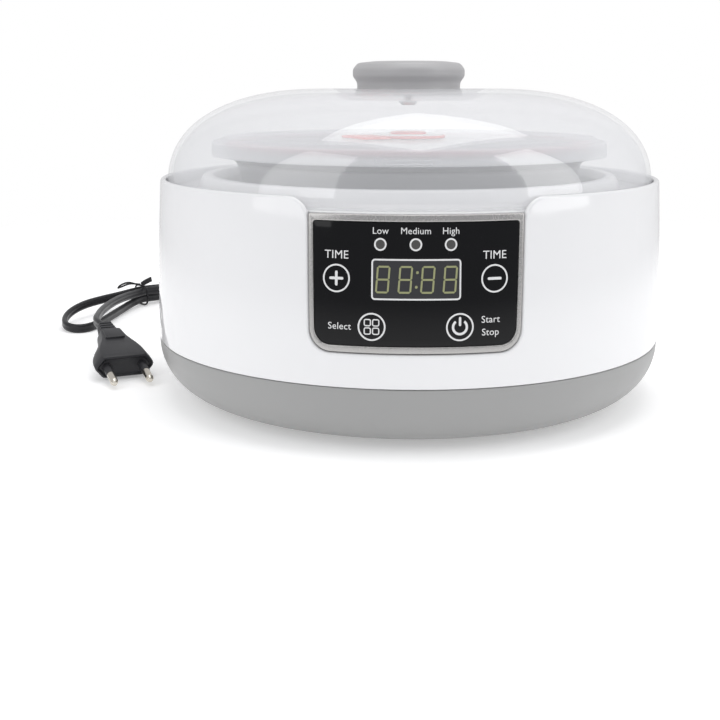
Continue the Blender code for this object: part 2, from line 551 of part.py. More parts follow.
def build_cord():
    black = material("cord_black", (0.03, 0.03, 0.032), 0.4)
    way = Vector((math.cos(RELIEF_ANGLE), math.sin(RELIEF_ANGLE), 0.0))
    profile = [(0.0, 104.5), (6.0, 104.5), (6.0, 107.0), (4.1, 108.5), (4.1, 119.4), (5.8, 120.0),
               (5.8, 122.5), (4.6, 124.0), (3.4, RELIEF_TIP / MM), (0.0, RELIEF_TIP / MM)]
    relief = turned("cord_relief", [(r * MM, z * MM) for r, z in profile], black, segments=16)
    relief.rotation_euler = way.to_track_quat("Z", "Y").to_euler()
    relief.location = (0.0, 0.0, RELIEF_Z)

    leave = way * (RELIEF_TIP + GAP) / MM
    lead = [(leave.x, leave.y, 16), (-106.5, 106.8, 15.0), (-112.5, 115.5, 10.5), (-116.5, 129, 5.2),
            (-117, 147, 2.9), (-114.5, 170, 2.7), (-112.5, 190, 2.7), (-117.5, 211.2, 2.7),
            (-124.7, 223.0, 2.7)]
    tube("cord_lead", smooth_route(lead, 10 * MM), CORD_R, black)

    # The hidden bights behind the body, as one solid with a flat end towards the tie
    run = (HANK_END_AT - TIE_AT).normalized()
    side = Vector((run.y, -run.x, 0.0))
    near = TIE_AT + run * 8 * MM
    outline = [near + side * 8.5 * MM]
    for i in range(15):
        angle = math.pi * i / 14
        outline.append(HANK_END_AT + HANK_END_R * (side * math.cos(angle) + run * math.sin(angle)))
    outline.append(near - side * 8.5 * MM)
    bm = bmesh.new()
    floor = bm.faces.new([bm.verts.new((p.x, p.y, 0.3 * MM)) for p in outline])
    grown = bmesh.ops.extrude_face_region(bm, geom=[floor])
    tops = [v for v in grown["geom"] if isinstance(v, bmesh.types.BMVert)]
    bmesh.ops.translate(bm, verts=tops, vec=(0, 0, 12.2 * MM))
    publish("cord_hank", bm, black)

    def at_tie(along, across, z):
        place = (TIE_AT + run * along * MM + side * across * MM) / MM
        return (place.x, place.y, z)

    loop = [at_tie(7.7, -2.8, 9.7), at_tie(0, -2.8, 9.7), (-186, 187, 9.0), (-196, 170, 8.5),
            (-205, 154, 8.0), (-211.5, 141, 6.5), (-213, 128, 4.8), (-207.5, 115.5, 3.4),
            (-198, 110.5, 2.7), (-190, 115, 2.7), (-186, 130, 2.7), (-184, 150, 2.7), (-181, 172, 2.9),
            (-177.5, 189, 3.7), at_tie(0, 0, 4.3), at_tie(7.7, 0, 4.3)]
    tube("cord_loop", smooth_route(loop, 10 * MM), CORD_R, black)
    back = (PLUG_FACE_AT - PLUG_AXIS * (PLUG_LENGTH + GAP)) / MM
    tail = [at_tie(7.7, 2.8, 9.7), at_tie(0, 2.8, 9.7), (-175.5, 187, 10.0), (-178, 172, 11),
            (-179, 152, 12.5), (-178, 127, 14.5), (-176, 102, 16.2), (-173.5, 82, 17.3),
            (-170, 63, 17.8), tuple(back)]
    tube("cord_tail", smooth_route(tail, 10 * MM), CORD_R, black)

    hoop = []
    for i in range(16):
        t = 2 * math.pi * i / 16
        c, s = math.cos(t), math.sin(t)
        across = math.copysign(abs(c) ** 0.5, c) * 6.9 * MM
        up = math.copysign(abs(s) ** 0.5, s) * 6.4 * MM
        hoop.append(TIE_AT + side * across + Vector((0.0, 0.0, 7.2 * MM + up)))
    tube("cord_tie", hoop, 0.6 * MM, black, cyclic=True)


def build_plug():
    black = material("cord_black", (0.03, 0.03, 0.032), 0.4)
    wide = PLUG_AXIS.cross(Vector((0, 0, 1))).normalized()
    up = wide.cross(PLUG_AXIS)
    # distance behind the face, half width and half thickness, in millimetres
    sections = [(0, 15.8, 4.8), (1.2, 17.0, 6.2), (8, 16.4, 6.4), (20, 12.2, 6.4), (31, 8.0, 6.2),
                (37, 7.0, 5.4), (38, 5.2, 4.4), (52, 3.6, 3.3)]
    bm = bmesh.new()
    rings = []
    for back, w, h in sections:
        middle = PLUG_FACE_AT - PLUG_AXIS * back * MM
        corners = [(w, 0), (0.70 * w, h), (-0.70 * w, h), (-w, 0), (-0.70 * w, -h), (0.70 * w, -h)]
        rings.append([bm.verts.new(middle + (wide * a + up * b) * MM) for a, b in corners])
    for one, two in zip(rings, rings[1:]):
        for i in range(6):
            j = (i + 1) % 6
            bm.faces.new((one[i], one[j], two[j], two[i]))
    bm.faces.new(rings[0])
    bm.faces.new(rings[-1])
    publish("plug_body", bm, black, sharp_deg=25.0)
    nickel = material("pin_nickel", (0.70, 0.69, 0.66), 0.25, metallic=1.0)
    for i, offset in enumerate((-PIN_SPACING / 2, PIN_SPACING / 2), start=1):
        start = PLUG_FACE_AT + wide * offset
        cylinder(f"plug_pin_{i}", 2.0 * MM, start + PLUG_AXIS * GAP, start + PLUG_AXIS * 19 * MM, nickel, 14)


def main():
    clear_scene()
    build_base()
    build_outer_shell()
    build_chamber()
    build_heater()
    build_panel()
    build_dome()
    build_pot()
    build_pot_lid()
    build_jars()
    build_cord()
    build_plug()


main()
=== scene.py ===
"""Finished look of a countertop yogurt maker: domed cover, steel pot, glass jars and mains lead.

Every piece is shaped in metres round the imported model, which gives the places and the outer sizes.
"""
import math

import bmesh
import bpy
from bpy.props import FloatProperty, FloatVectorProperty, IntProperty, PointerProperty
from mathutils import Matrix, Vector


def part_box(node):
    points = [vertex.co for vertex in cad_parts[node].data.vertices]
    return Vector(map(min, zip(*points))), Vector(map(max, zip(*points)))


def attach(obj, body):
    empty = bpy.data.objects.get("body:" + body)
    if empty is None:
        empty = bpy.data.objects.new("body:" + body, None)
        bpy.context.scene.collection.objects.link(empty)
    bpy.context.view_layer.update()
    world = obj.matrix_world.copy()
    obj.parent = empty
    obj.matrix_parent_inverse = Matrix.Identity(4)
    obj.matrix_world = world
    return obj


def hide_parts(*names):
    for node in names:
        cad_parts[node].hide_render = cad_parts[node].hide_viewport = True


bl_info = {
    "name": "Yogurt Maker",
    "version": (1, 0, 0),
    "blender": (4, 5, 0),
    "location": "View3D > Sidebar > Yogurt Maker",
    "description": "Models the finished pieces of a domed countertop yogurt maker",
    "category": "Add Mesh",
}

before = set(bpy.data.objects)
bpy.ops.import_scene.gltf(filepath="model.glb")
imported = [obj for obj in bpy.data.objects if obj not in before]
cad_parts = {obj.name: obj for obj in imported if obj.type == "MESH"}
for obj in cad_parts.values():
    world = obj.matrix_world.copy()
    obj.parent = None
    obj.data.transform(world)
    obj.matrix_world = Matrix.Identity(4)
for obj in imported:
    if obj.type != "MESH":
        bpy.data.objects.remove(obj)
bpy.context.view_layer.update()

MM = 0.001
FULL_TURN = 2 * math.pi
MERGE = 1e-6                       # points closer than this are one point

# Places and outer sizes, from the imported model
BASE_LOW, BASE_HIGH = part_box("base_shell")
SHELL_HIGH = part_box("outer_shell")[1]
BEZEL_LOW, BEZEL_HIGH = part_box("panel_bezel")
DOME_LOW, DOME_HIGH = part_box("dome_cover")
KNOB_LOW, KNOB_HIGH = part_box("dome_knob")
CHAMBER_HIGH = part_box("inner_chamber")[1]
PLATE_LOW, PLATE_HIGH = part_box("warming_plate")
POT_LOW, POT_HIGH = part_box("inner_pot")
LID_LOW, LID_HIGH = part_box("pot_lid")
BODY_R = BASE_HIGH[0]
SEAM_Z = BASE_HIGH[2]
DOME_R = DOME_HIGH[0]
JAR_COUNT = 5
RELIEF_ANGLE = math.radians(135.0)  # the lead leaves at the rear left, measured from +X

# Mains lead, in millimetres except for its length
TIE_AT = Vector((-173.5, 200.5, 0.0))
FOLD_AT = Vector((-128.0, 248.0, 0.0))
PLUG_FACE_AT = Vector((-142.0, 5.0, 6.9))
PLUG_AXIS = Vector((0.400, -0.896, -0.190)).normalized()
PLUG_LENGTH = 52.0
PIN_SPACING = 17.6


# ---------------------------------------------------------------- what a user would change

def length(name, description, default):
    """A size given in millimetres and kept in metres."""
    return FloatProperty(name=name, description=description, default=default * MM, min=0.0, max=0.2,
                         unit="LENGTH", precision=5)


def colour(name, description, default):
    return FloatVectorProperty(name=name, description=description, default=default, size=3,
                               min=0.0, max=1.0, subtype="COLOR")


class BodySizes(bpy.types.PropertyGroup):
    """Walls and edges of the base, shell, chamber and dome."""
    sides: IntProperty(name="Sides", description="Facets round the large turned pieces", default=144,
                       min=24, max=360)
    wall: length("Shell wall", "Thickness of the white shell", 2.6)
    draft: length("Shell draft", "How far the shell draws in from its seam to its rim", 2.9)
    edge: length("Rim edge", "Rounding of the shell's rim and opening", 1.15)
    seam: length("Seam gap", "Gap between the base and the shell", 0.22)
    flare: length("Opening flare", "Round corners where the front opening meets the rim", 9.5)
    dome_wall: length("Dome wall", "Thickness of the clear cover", 2.0)
    dome_crest: length("Dome crest radius", "Where the top of the cover turns level", 40.0)
    dome_power: FloatProperty(name="Dome fullness", description="2 is an ellipse, more is squarer",
                              default=2.3, min=1.5, max=4.0)


class PanelSizes(bpy.types.PropertyGroup):
    """The control panel, its frame and its print."""
    corner: length("Panel corner", "Radius of the panel's lower corners", 9.0)
    side: length("Frame side", "Width of the frame at the sides", 1.95)
    brow: length("Frame top", "Width of the frame at the top and bottom", 2.7)
    stroke: length("Print stroke", "Width of the printed rings", 0.64)
    key: length("Key ring", "Radius of a printed key ring", 5.5)
    lamp: length("Lamp ring", "Radius of a printed lamp ring", 2.45)
    digit: length("Digit height", "Height of a display digit", 10.6)
    pitch: length("Digit pitch", "Distance between display digits", 8.75)
    letter: length("Letter height", "Height of a printed capital", 3.3)


class VesselSizes(bpy.types.PropertyGroup):
    """Pot, lid and jars."""
    pot_wall: length("Pot wall", "Thickness of the steel", 1.0)
    pot_body: length("Pot radius", "Outer radius of the pot's wall", 78.8)
    gasket: length("Gasket width", "Width of the silicone ring under the lid", 8.4)
    ring: length("Valve ring", "Outer radius of the valve's white ring", 16.6)
    glass: length("Jar wall", "Thickness of the glass", 2.2)


class LeadSizes(bpy.types.PropertyGroup):
    """Mains lead and plug."""
    width: length("Flex width", "Width across both cores", 5.4)
    thick: length("Flex thickness", "Thickness of one core", 3.3)
    wire: length("Tie wire", "Radius of the tie", 0.6)
    pin: length("Pin radius", "Radius of a plug pin", 2.0)


class Finishes(bpy.types.PropertyGroup):
    """Colours of the finishes."""
    shell: colour("Shell", "Gloss white plastic", (0.80, 0.80, 0.808))
    base: colour("Base", "Satin grey plastic", (0.325, 0.325, 0.322))
    knob: colour("Knob", "Satin grey plastic", (0.43, 0.425, 0.43))
    chamber: colour("Chamber", "Semi-gloss white plastic", (0.88, 0.88, 0.885))
    dome: colour("Dome", "Milky clear plastic", (0.96, 0.965, 0.985))
    lens: colour("Lens", "Black gloss panel", (0.0035, 0.0035, 0.0042))
    print_ink: colour("Print", "White ink", (0.72, 0.72, 0.72))
    digits: colour("Digits", "Unlit display segments", (0.29, 0.30, 0.15))
    silver: colour("Frame", "Silver paint", (0.44, 0.43, 0.42))
    gasket: colour("Gasket", "Pink silicone", (0.88, 0.20, 0.26))
    valve: colour("Valve", "Red silicone", (0.82, 0.045, 0.03))
    flex: colour("Flex", "Black PVC", (0.012, 0.012, 0.014))


def settings():
    return bpy.context.scene.yogurt_maker


class YogurtMakerSettings(bpy.types.PropertyGroup):
    """All settings of the yogurt maker."""
    body: PointerProperty(type=BodySizes)
    panel: PointerProperty(type=PanelSizes)
    vessels: PointerProperty(type=VesselSizes)
    lead: PointerProperty(type=LeadSizes)
    finishes: PointerProperty(type=Finishes)


# ---------------------------------------------------------------- finishes

COLOUR_A, COLOUR_B, COLOUR_OUT = 6, 7, 2      # sockets of a mix node that mixes colours


def blank_material(name):
    """A new material with its node tree, its shader and the place on the piece."""
    made = bpy.data.materials.new(name)
    made.use_nodes = True
    tree = made.node_tree
    place = add_node(tree, "ShaderNodeTexCoord").outputs["Object"]
    return made, tree, tree.nodes["Principled BSDF"], place


def feed(tree, node, inputs):
    """Sets a node's inputs: each takes a value or the output of another node."""
    for key, value in inputs.items():
        if isinstance(value, bpy.types.NodeSocket):
            tree.links.new(value, node.inputs[key])
        else:
            node.inputs[key].default_value = value


def add_node(tree, kind, inputs=None, **properties):
    node = tree.nodes.new(kind)
    for key, value in properties.items():
        setattr(node, key, value)
    feed(tree, node, inputs or {})
    return node


def noise(tree, place, scale, detail=3.0, roughness=0.55):
    sockets = {"Vector": place, "Scale": scale, "Detail": detail, "Roughness": roughness}
    return add_node(tree, "ShaderNodeTexNoise", sockets).outputs["Fac"]


def remap(tree, source, start, end, low, high, **properties):
    """Maps the range from start to end onto the range from low to high."""
    sockets = {"Value": source, "From Min": start, "From Max": end, "To Min": low, "To Max": high}
    return add_node(tree, "ShaderNodeMapRange", sockets, **properties).outputs["Result"]


def spread(tree, pattern, low, high):
    """Maps a pattern's usual range onto another one."""
    return remap(tree, pattern, 0.3, 0.7, low, high)


def mix(tree, factor, first, second):
    sockets = {"Factor": factor, COLOUR_A: first, COLOUR_B: second}
    return add_node(tree, "ShaderNodeMix", sockets, data_type="RGBA").outputs[COLOUR_OUT]


def tint(tree, pattern, shade, amount):
    """A colour that drifts a little darker and lighter with a pattern."""
    dark, light = [(*[min(1.0, part * factor) for part in shade], 1.0)
                   for factor in (1.0 - amount, 1.0 + amount)]
    return mix(tree, pattern, dark, light)


def bump(tree, pattern, height, strength=1.0):
    sockets = {"Height": pattern, "Strength": strength, "Distance": height}
    return add_node(tree, "ShaderNodeBump", sockets).outputs["Normal"]


def moulded(name, shade, roughness, grain=900.0, depth=0.004, drift=0.02, coat=0.0, uneven=0.04,
            gloss=0.5):
    """Moulded plastic or rubber: a fine skin, uneven gloss and a faint drift of colour."""
    made, tree, shader, place = blank_material(name)
    smear = noise(tree, place, 60.0, 4.0)
    feed(tree, shader, {
        "Base Color": tint(tree, noise(tree, place, 14.0, 2.0), shade, drift),
        "Roughness": spread(tree, smear, roughness - uneven, roughness + uneven),
        "Normal": bump(tree, noise(tree, place, grain, 2.0), depth * MM),
        "Specular IOR Level": gloss,
        "Coat Weight": coat,
        "Coat Roughness": 0.03,
    })
    return made


def ring_place(tree, place):
    """Distance from the axis and height as a vector, so a pattern runs in rings round the axis."""
    split = add_node(tree, "ShaderNodeSeparateXYZ", {0: place}).outputs
    flat = add_node(tree, "ShaderNodeCombineXYZ", {"X": split["X"], "Y": split["Y"]}).outputs[0]
    reach = add_node(tree, "ShaderNodeVectorMath", {0: flat}, operation="LENGTH").outputs["Value"]
    return add_node(tree, "ShaderNodeCombineXYZ", {"X": reach, "Z": split["Z"]}).outputs[0]


def spun_metal(name, shade, roughness, fineness=2600.0, depth=0.002):
    """Metal polished on a lathe: hair lines run in rings round the axis."""
    made, tree, shader, place = blank_material(name)
    lines = noise(tree, ring_place(tree, place), fineness, 4.0, 0.7)
    feed(tree, shader, {
        "Base Color": tint(tree, noise(tree, place, 22.0), shade, 0.05),
        "Roughness": spread(tree, lines, roughness * 0.7, roughness * 1.4),
        "Normal": bump(tree, lines, depth * MM, 0.6),
        "Metallic": 1.0,
    })
    return made


def metal(name, shade, roughness):
    """Plated or stamped metal with faint scratches."""
    made, tree, shader, place = blank_material(name)
    marks = noise(tree, place, 700.0, 5.0, 0.7)
    feed(tree, shader, {
        "Base Color": tint(tree, marks, shade, 0.04),
        "Roughness": spread(tree, marks, roughness * 0.7, roughness * 1.5),
        "Normal": bump(tree, marks, 0.003 * MM, 0.5),
        "Metallic": 1.0,
    })
    return made


def silver_paint(name, shade):
    """Silver paint with fine flakes."""
    made, tree, shader, place = blank_material(name)
    flakes = add_node(tree, "ShaderNodeTexVoronoi", {"Vector": place, "Scale": 4200.0}).outputs["Distance"]
    feed(tree, shader, {
        "Base Color": tint(tree, flakes, shade, 0.03),
        "Roughness": spread(tree, flakes, 0.24, 0.28),
        "Normal": bump(tree, noise(tree, place, 1800.0, 2.0), 0.003 * MM),
        "Metallic": 0.75,
    })
    return made


def milky(name, shade, roughness, thin, thick, gloss_ior):
    """Hazy clear plastic: more can be seen through it face on than along its curve."""
    made, tree, shader, place = blank_material(name)
    cloud = noise(tree, place, 40.0)
    slant = add_node(tree, "ShaderNodeLayerWeight", {"Blend": 0.35}).outputs["Facing"]
    feed(tree, shader, {
        "Base Color": tint(tree, cloud, shade, 0.01),
        "Roughness": spread(tree, cloud, roughness * 0.8, roughness * 1.2),
        "Alpha": remap(tree, slant, 0.0, 1.0, thin, thick),
        "Normal": bump(tree, noise(tree, place, 7.0, 1.0), 0.15 * MM, 0.3),
        "IOR": gloss_ior,
        "Specular IOR Level": 1.0,
    })
    return made


def clear_glass(name, shade):
    """Pressed glass with slight waves in its wall."""
    made, tree, shader, place = blank_material(name)
    feed(tree, shader, {
        "Base Color": (*shade, 1.0),
        "Roughness": 0.02,
        "IOR": 1.5,
        "Transmission Weight": 1.0,
        "Normal": bump(tree, noise(tree, place, 45.0, 2.0), 0.2 * MM, 0.35),
    })
    return made


# How each finish is made: its maker, its colour or the setting that holds it, and the maker's other values
FINISHES = {
    "shell": (moulded, "shell", 0.06, 420.0, 0.002, 0.008, 0.0, 0.02, 0.6),
    "base": (moulded, "base", 0.42, 1500.0, 0.012),
    "knob": (moulded, "knob", 0.40, 1500.0, 0.012),
    "chamber": (moulded, "chamber", 0.24, 700.0, 0.004, 0.01, 0.2),
    "dome": (milky, "dome", 0.03, 0.23, 0.44, 1.9),
    "lens": (moulded, "lens", 0.06, 300.0, 0.001, 0.05, 0.0, 0.02, 0.24),
    "print": (moulded, "print_ink", 0.45, 2500.0, 0.002, 0.03),
    "digits": (moulded, "digits", 0.40, 2500.0, 0.002, 0.06),
    "window": (moulded, (0.040, 0.040, 0.043), 0.10, 900.0, 0.001, 0.03, 0.0, 0.02, 0.24),
    "lamp": (moulded, (0.070, 0.068, 0.066), 0.20, 900.0, 0.002, 0.05, 0.0, 0.02, 0.4),
    "silver": (silver_paint, "silver"),
    "pot": (spun_metal, (0.66, 0.665, 0.67), 0.13),
    "plate": (spun_metal, (0.70, 0.71, 0.72), 0.32, 1800.0, 0.004),
    "lid": (milky, (0.88, 0.89, 0.91), 0.22, 0.30, 0.70, 1.6),
    "gasket": (moulded, "gasket", 0.48, 900.0, 0.006, 0.05),
    "valve": (moulded, "valve", 0.42, 900.0, 0.006, 0.05),
    "ring": (moulded, (0.84, 0.84, 0.84), 0.28, 900.0, 0.004, 0.01),
    "jar": (clear_glass, (0.97, 0.995, 0.995)),
    "flex": (moulded, "flex", 0.34, 1100.0, 0.010, 0.12, 0.0, 0.04, 0.36),
    "plug": (moulded, (0.021, 0.021, 0.024), 0.44, 1700.0, 0.020, 0.10, 0.0, 0.04, 0.4),
    "pin": (metal, (0.66, 0.62, 0.55), 0.18),
    "screw": (metal, (0.60, 0.60, 0.61), 0.28),
    "rubber": (moulded, (0.035, 0.035, 0.037), 0.75, 1200.0, 0.030, 0.12),
    "board": (moulded, (0.025, 0.16, 0.06), 0.35, 500.0, 0.010, 0.20, 0.3),
    "tape": (moulded, (0.72, 0.55, 0.09), 0.40, 300.0, 0.020, 0.06),
    "black": (moulded, (0.022, 0.022, 0.024), 0.42, 1300.0, 0.012, 0.10),
    "blue": (moulded, (0.03, 0.15, 0.50), 0.40, 1300.0, 0.010, 0.06),
    "ceramic": (moulded, (0.72, 0.64, 0.50), 0.65, 1100.0, 0.030, 0.06),
    "clear_led": (moulded, (0.80, 0.78, 0.70), 0.12, 900.0, 0.002, 0.02, 1.0, 0.02),
    "foam": (moulded, (0.05, 0.05, 0.052), 0.88, 800.0, 0.120, 0.15),
}


def finish_for(key):
    """The material of one finish, made the first time that it is asked for."""
    name = "finish_" + key
    found = bpy.data.materials.get(name)
    if found:
        return found
    maker, shade, *values = FINISHES[key]
    if isinstance(shade, str):
        shade = getattr(settings().finishes, shade)
    return maker(name, shade, *values)


# ---------------------------------------------------------------- modelling

def add_object(name, data):
    made = bpy.data.objects.new(name, data)
    bpy.context.scene.collection.objects.link(made)
    return made


def drop_curve(holder):
    """Removes a helper object with its curve."""
    curve = holder.data
    bpy.data.objects.remove(holder, do_unlink=True)
    bpy.data.curves.remove(curve)


def add_mesh(bm, mesh):
    """Adds a mesh to a bmesh and removes it."""
    bm.from_mesh(mesh)
    bpy.data.meshes.remove(mesh)


def join(bm, other):
    """Adds a second bmesh to the first."""
    spare = bpy.data.meshes.new("spare")
    other.to_mesh(spare)
    other.free()
    add_mesh(bm, spare)


def middle(node):
    """The middle of a node, seen from above."""
    low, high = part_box(node)
    return ((low[0] + high[0]) / 2, (low[1] + high[1]) / 2)


def publish(name, bm, finish, body, nodes=(), sharp=35.0, weighted=False):
    """Makes a bmesh a piece that rides on a body and stands for CAD nodes."""
    bmesh.ops.remove_doubles(bm, verts=bm.verts, dist=MERGE)
    bmesh.ops.recalc_face_normals(bm, faces=bm.faces)
    mesh = bpy.data.meshes.new(name)
    bm.to_mesh(mesh)
    bm.free()
    mesh.shade_smooth()
    mesh.set_sharp_from_angle(angle=math.radians(sharp))
    mesh.materials.append(finish_for(finish))
    piece = add_object(name, mesh)
    if weighted:
        even = piece.modifiers.new("Even shading", "WEIGHTED_NORMAL")
        even.keep_sharp = True
        even.weight = 80
    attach(piece, body)
    if nodes:
        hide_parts(*nodes)
    return piece


def rounded(points, steps=5, closed=False):
    """An outline whose corners are rounded: a point is (x, y) or (x, y, corner radius)."""
    outline = []
    count = len(points)
    for i, point in enumerate(points):
        corner = Vector(point[:2])
        radius = point[2] if len(point) > 2 else 0.0
        if radius == 0.0 or (not closed and i in (0, count - 1)):
            outline.append(tuple(corner))
            continue
        back = Vector(points[i - 1][:2]) - corner
        ahead = Vector(points[(i + 1) % count][:2]) - corner
        spare = 0.49 * min(back.length, ahead.length)
        back.normalize()
        ahead.normalize()
        half = back.angle(ahead) / 2
        cut = min(radius / math.tan(half), spare)
        radius = cut * math.tan(half)
        centre = corner + (back + ahead).normalized() * radius / math.sin(half)
        start = (corner + back * cut - centre).normalized()
        end = (corner + ahead * cut - centre).normalized()
        for step in range(steps + 1):
            outline.append(tuple(centre + start.slerp(end, step / steps) * radius))
    return outline


def in_mm(points):
    """Scales an outline given in millimetres, corner radii included."""
    return [tuple(value * MM for value in point) for point in points]


def thread(core, crest, start, turns):
    """The outline of a screw's thread, in millimetres."""
    outline = []
    for turn in range(turns):
        z = start + 0.8 * turn
        outline += [(core, z), (crest, z + 0.3)]
    return outline


def rectangle(x, z, half_wide, half_high, corner):
    """A rectangle with round corners about a middle point."""
    left, right, low, high = x - half_wide, x + half_wide, z - half_high, z + half_high
    return rounded([(left, low, corner), (right, low, corner), (right, high, corner), (left, high, corner)],
                   4, closed=True)


def add_turned(bm, profile, sides, centre=(0.0, 0.0)):
    """Spins a profile of (radius, height) about a vertical axis. Ends on the axis close by themselves."""
    verts = [bm.verts.new((centre[0] + r, centre[1], z)) for r, z in profile]
    edges = [bm.edges.new(pair) for pair in zip(verts, verts[1:])]
    if profile[0][0] > 0.0 or profile[-1][0] > 0.0:
        edges.append(bm.edges.new((verts[-1], verts[0])))
    bmesh.ops.spin(bm, geom=verts + edges, cent=(*centre, 0.0), axis=(0, 0, 1), angle=FULL_TURN,
                   steps=sides, use_merge=True)
    bmesh.ops.remove_doubles(bm, verts=bm.verts, dist=MERGE)


def turned(name, profile, finish, body, nodes=(), sides=96, centre=(0.0, 0.0), sharp=35.0):
    bm = bmesh.new()
    add_turned(bm, profile, sides, centre)
    return publish(name, bm, finish, body, nodes, sharp)


def add_slab(bm, outline, depth, thick, hole=None):
    """A flat plate in the (x, z) plane, from a depth inwards, with an optional hole."""
    edges = []
    for points in (outline, hole) if hole else (outline,):
        verts = [bm.verts.new((x, depth, z)) for x, z in points]
        edges += [bm.edges.new(pair) for pair in zip(verts, verts[1:] + verts[:1])]
    if hole:
        faces = bmesh.ops.bridge_loops(bm, edges=edges)["faces"]
    else:
        faces = [bm.faces.new(verts)]
    grown = bmesh.ops.extrude_face_region(bm, geom=faces)
    moved = [v for v in grown["geom"] if isinstance(v, bmesh.types.BMVert)]
    bmesh.ops.translate(bm, verts=moved, vec=(0, thick, 0))


def round_edges(bm, chosen, radius, steps=3):
    bmesh.ops.bevel(bm, geom=chosen, offset=radius, offset_type="OFFSET", segments=steps, profile=0.5,
                    affect="EDGES", material=-1)


def slice_mesh(bm, axis, places):
    """Cuts a mesh into strips, so that it can be bent smoothly."""
    for place in places:
        everything = bm.verts[:] + bm.edges[:] + bm.faces[:]
        bmesh.ops.bisect_plane(bm, geom=everything, plane_co=Vector(axis) * place, plane_no=axis,
                               dist=1e-7)


def shell_radius(z):
    """Outer radius of the shell, drawn in slightly towards its rim."""
    straight_foot, straight_rim = 5.3 * MM, 4.5 * MM
    start = SEAM_Z + straight_foot
    rise = max(0.0, (z - start) / (SHELL_HIGH[2] - straight_rim - start))
    return BODY_R - settings().body.draft * rise ** 1.6


def bend_round(bm):
    """Wraps flat plates round the body: x becomes an angle, and depth runs inwards."""
    for vert in bm.verts:
        angle = vert.co.x / BODY_R
        reach = shell_radius(vert.co.z) - vert.co.y
        vert.co = (reach * math.sin(angle), -reach * math.cos(angle), vert.co.z)


def smooth_route(points, spacing):
    """Evenly spaced points on a smooth curve through the given ones, in metres."""
    knots = [Vector(p) * MM for p in points]
    ends = [2 * knots[0] - knots[1]] + knots + [2 * knots[-1] - knots[-2]]
    fine = []
    for a, b, c, d in zip(ends, ends[1:], ends[2:], ends[3:]):
        for i in range(16):
            t = i / 16
            fine.append(0.5 * (2 * b + (c - a) * t + (2 * a - 5 * b + 4 * c - d) * t ** 2
                               + (3 * b - a - 3 * c + d) * t ** 3))
    fine.append(knots[-1])
    run = [0.0]
    for a, b in zip(fine, fine[1:]):
        run.append(run[-1] + (b - a).length)
    count = max(2, round(run[-1] / spacing))
    route, at = [], 0
    for i in range(count + 1):
        want = run[-1] * i / count
        while at < len(fine) - 2 and run[at + 1] < want:
            at += 1
        route.append(fine[at].lerp(fine[at + 1], (want - run[at]) / (run[at + 1] - run[at])))
    return route


def add_polyline(name, points, dimensions, closed):
    """A curve object of straight runs between points."""
    curve = bpy.data.curves.new(name, "CURVE")
    curve.dimensions = dimensions
    spline = curve.splines.new("POLY")
    spline.points.add(len(points) - 1)
    for point, place in zip(spline.points, points):
        point.co = (*place, 1.0)
    spline.use_cyclic_u = closed
    return add_object(name, curve)


def add_swept(bm, route, section, cyclic=False):
    """Sweeps a closed section, given as (across, up) points, along a route. The ends are capped."""
    guide = add_polyline("section", [(x, y, 0.0) for x, y in section], "2D", True)
    path = add_polyline("route", route, "3D", cyclic)
    path.data.twist_mode = "Z_UP"
    path.data.bevel_mode = "OBJECT"
    path.data.bevel_object = guide
    path.data.use_fill_caps = not cyclic
    depsgraph = bpy.context.evaluated_depsgraph_get()
    add_mesh(bm, bpy.data.meshes.new_from_object(path.evaluated_get(depsgraph)))
    drop_curve(path)
    drop_curve(guide)


def circle(radius, count):
    turns = [FULL_TURN * i / count for i in range(count)]
    return [(radius * math.cos(turn), radius * math.sin(turn)) for turn in turns]


# ---------------------------------------------------------------- mains lead

FOLD_RUN = (FOLD_AT - TIE_AT).normalized()
FOLD_SIDE = Vector((FOLD_RUN.y, -FOLD_RUN.x, 0.0))


def at_tie(along, across, z):
    """A point near the tie, in millimetres: along the folds, and across them towards the body."""
    place = TIE_AT + FOLD_RUN * along + FOLD_SIDE * across
    return (place.x, place.y, z)


def lead_points():
    """The lead from the housing to the plug, with one loop and two folds held by a tie."""
    out = 100.3
    lead = [(-out, out, 16), (-106.5, 106.8, 15), (-112.5, 115.5, 10.5), (-116.5, 129, 5.2),
            (-117, 147, 2.9), (-114.5, 170, 2.7), (-112.5, 190, 2.7), (-117.5, 211.2, 2.7),
            (-124.7, 223, 2.7)]
    into_tie = [at_tie(50, 9.5, 3.2), at_tie(42, 1.0, 5.2), at_tie(32, -2.4, 7.4), at_tie(20, -2.8, 9.0),
                at_tie(7.7, -2.8, 9.7), at_tie(0, -2.8, 9.7)]
    loop = [(-185, 187, 9.2), (-194, 172, 9.0), (-201, 158, 8.6), (-205.5, 144, 7.2), (-206.5, 131, 5.2),
            (-203, 118.5, 3.5), (-195.5, 113, 2.7), (-188.5, 117, 2.7), (-185, 131, 2.7),
            (-183, 150, 2.7), (-180.5, 172, 2.9), (-177.3, 189, 3.7)]
    fold = [at_tie(0, 0, 4.3), at_tie(7.7, 0, 4.3), at_tie(20, -3.5, 3.3), at_tie(34, -10, 3.0),
            at_tie(50, -17, 3.0), at_tie(66, -19.8, 3.0), at_tie(80, -14, 3.6), at_tie(85.8, 0, 4.8),
            at_tie(80, 14, 6.2), at_tie(66, 19.8, 7.6), at_tie(50, 17, 8.8), at_tie(34, 10, 9.6),
            at_tie(20, 5, 9.8), at_tie(7.7, 2.8, 9.7), at_tie(0, 2.8, 9.7)]
    tail = [(-175.5, 187, 10), (-178, 172, 11), (-179, 152, 12.5), (-178, 127, 14.5), (-176, 102, 16.2),
            (-173.5, 82, 17.3), (-170, 63, 17.8)]
    plug_end = tuple(PLUG_FACE_AT - PLUG_AXIS * (PLUG_LENGTH - 1.0))
    return lead + into_tie + loop + fold + tail + [plug_end]


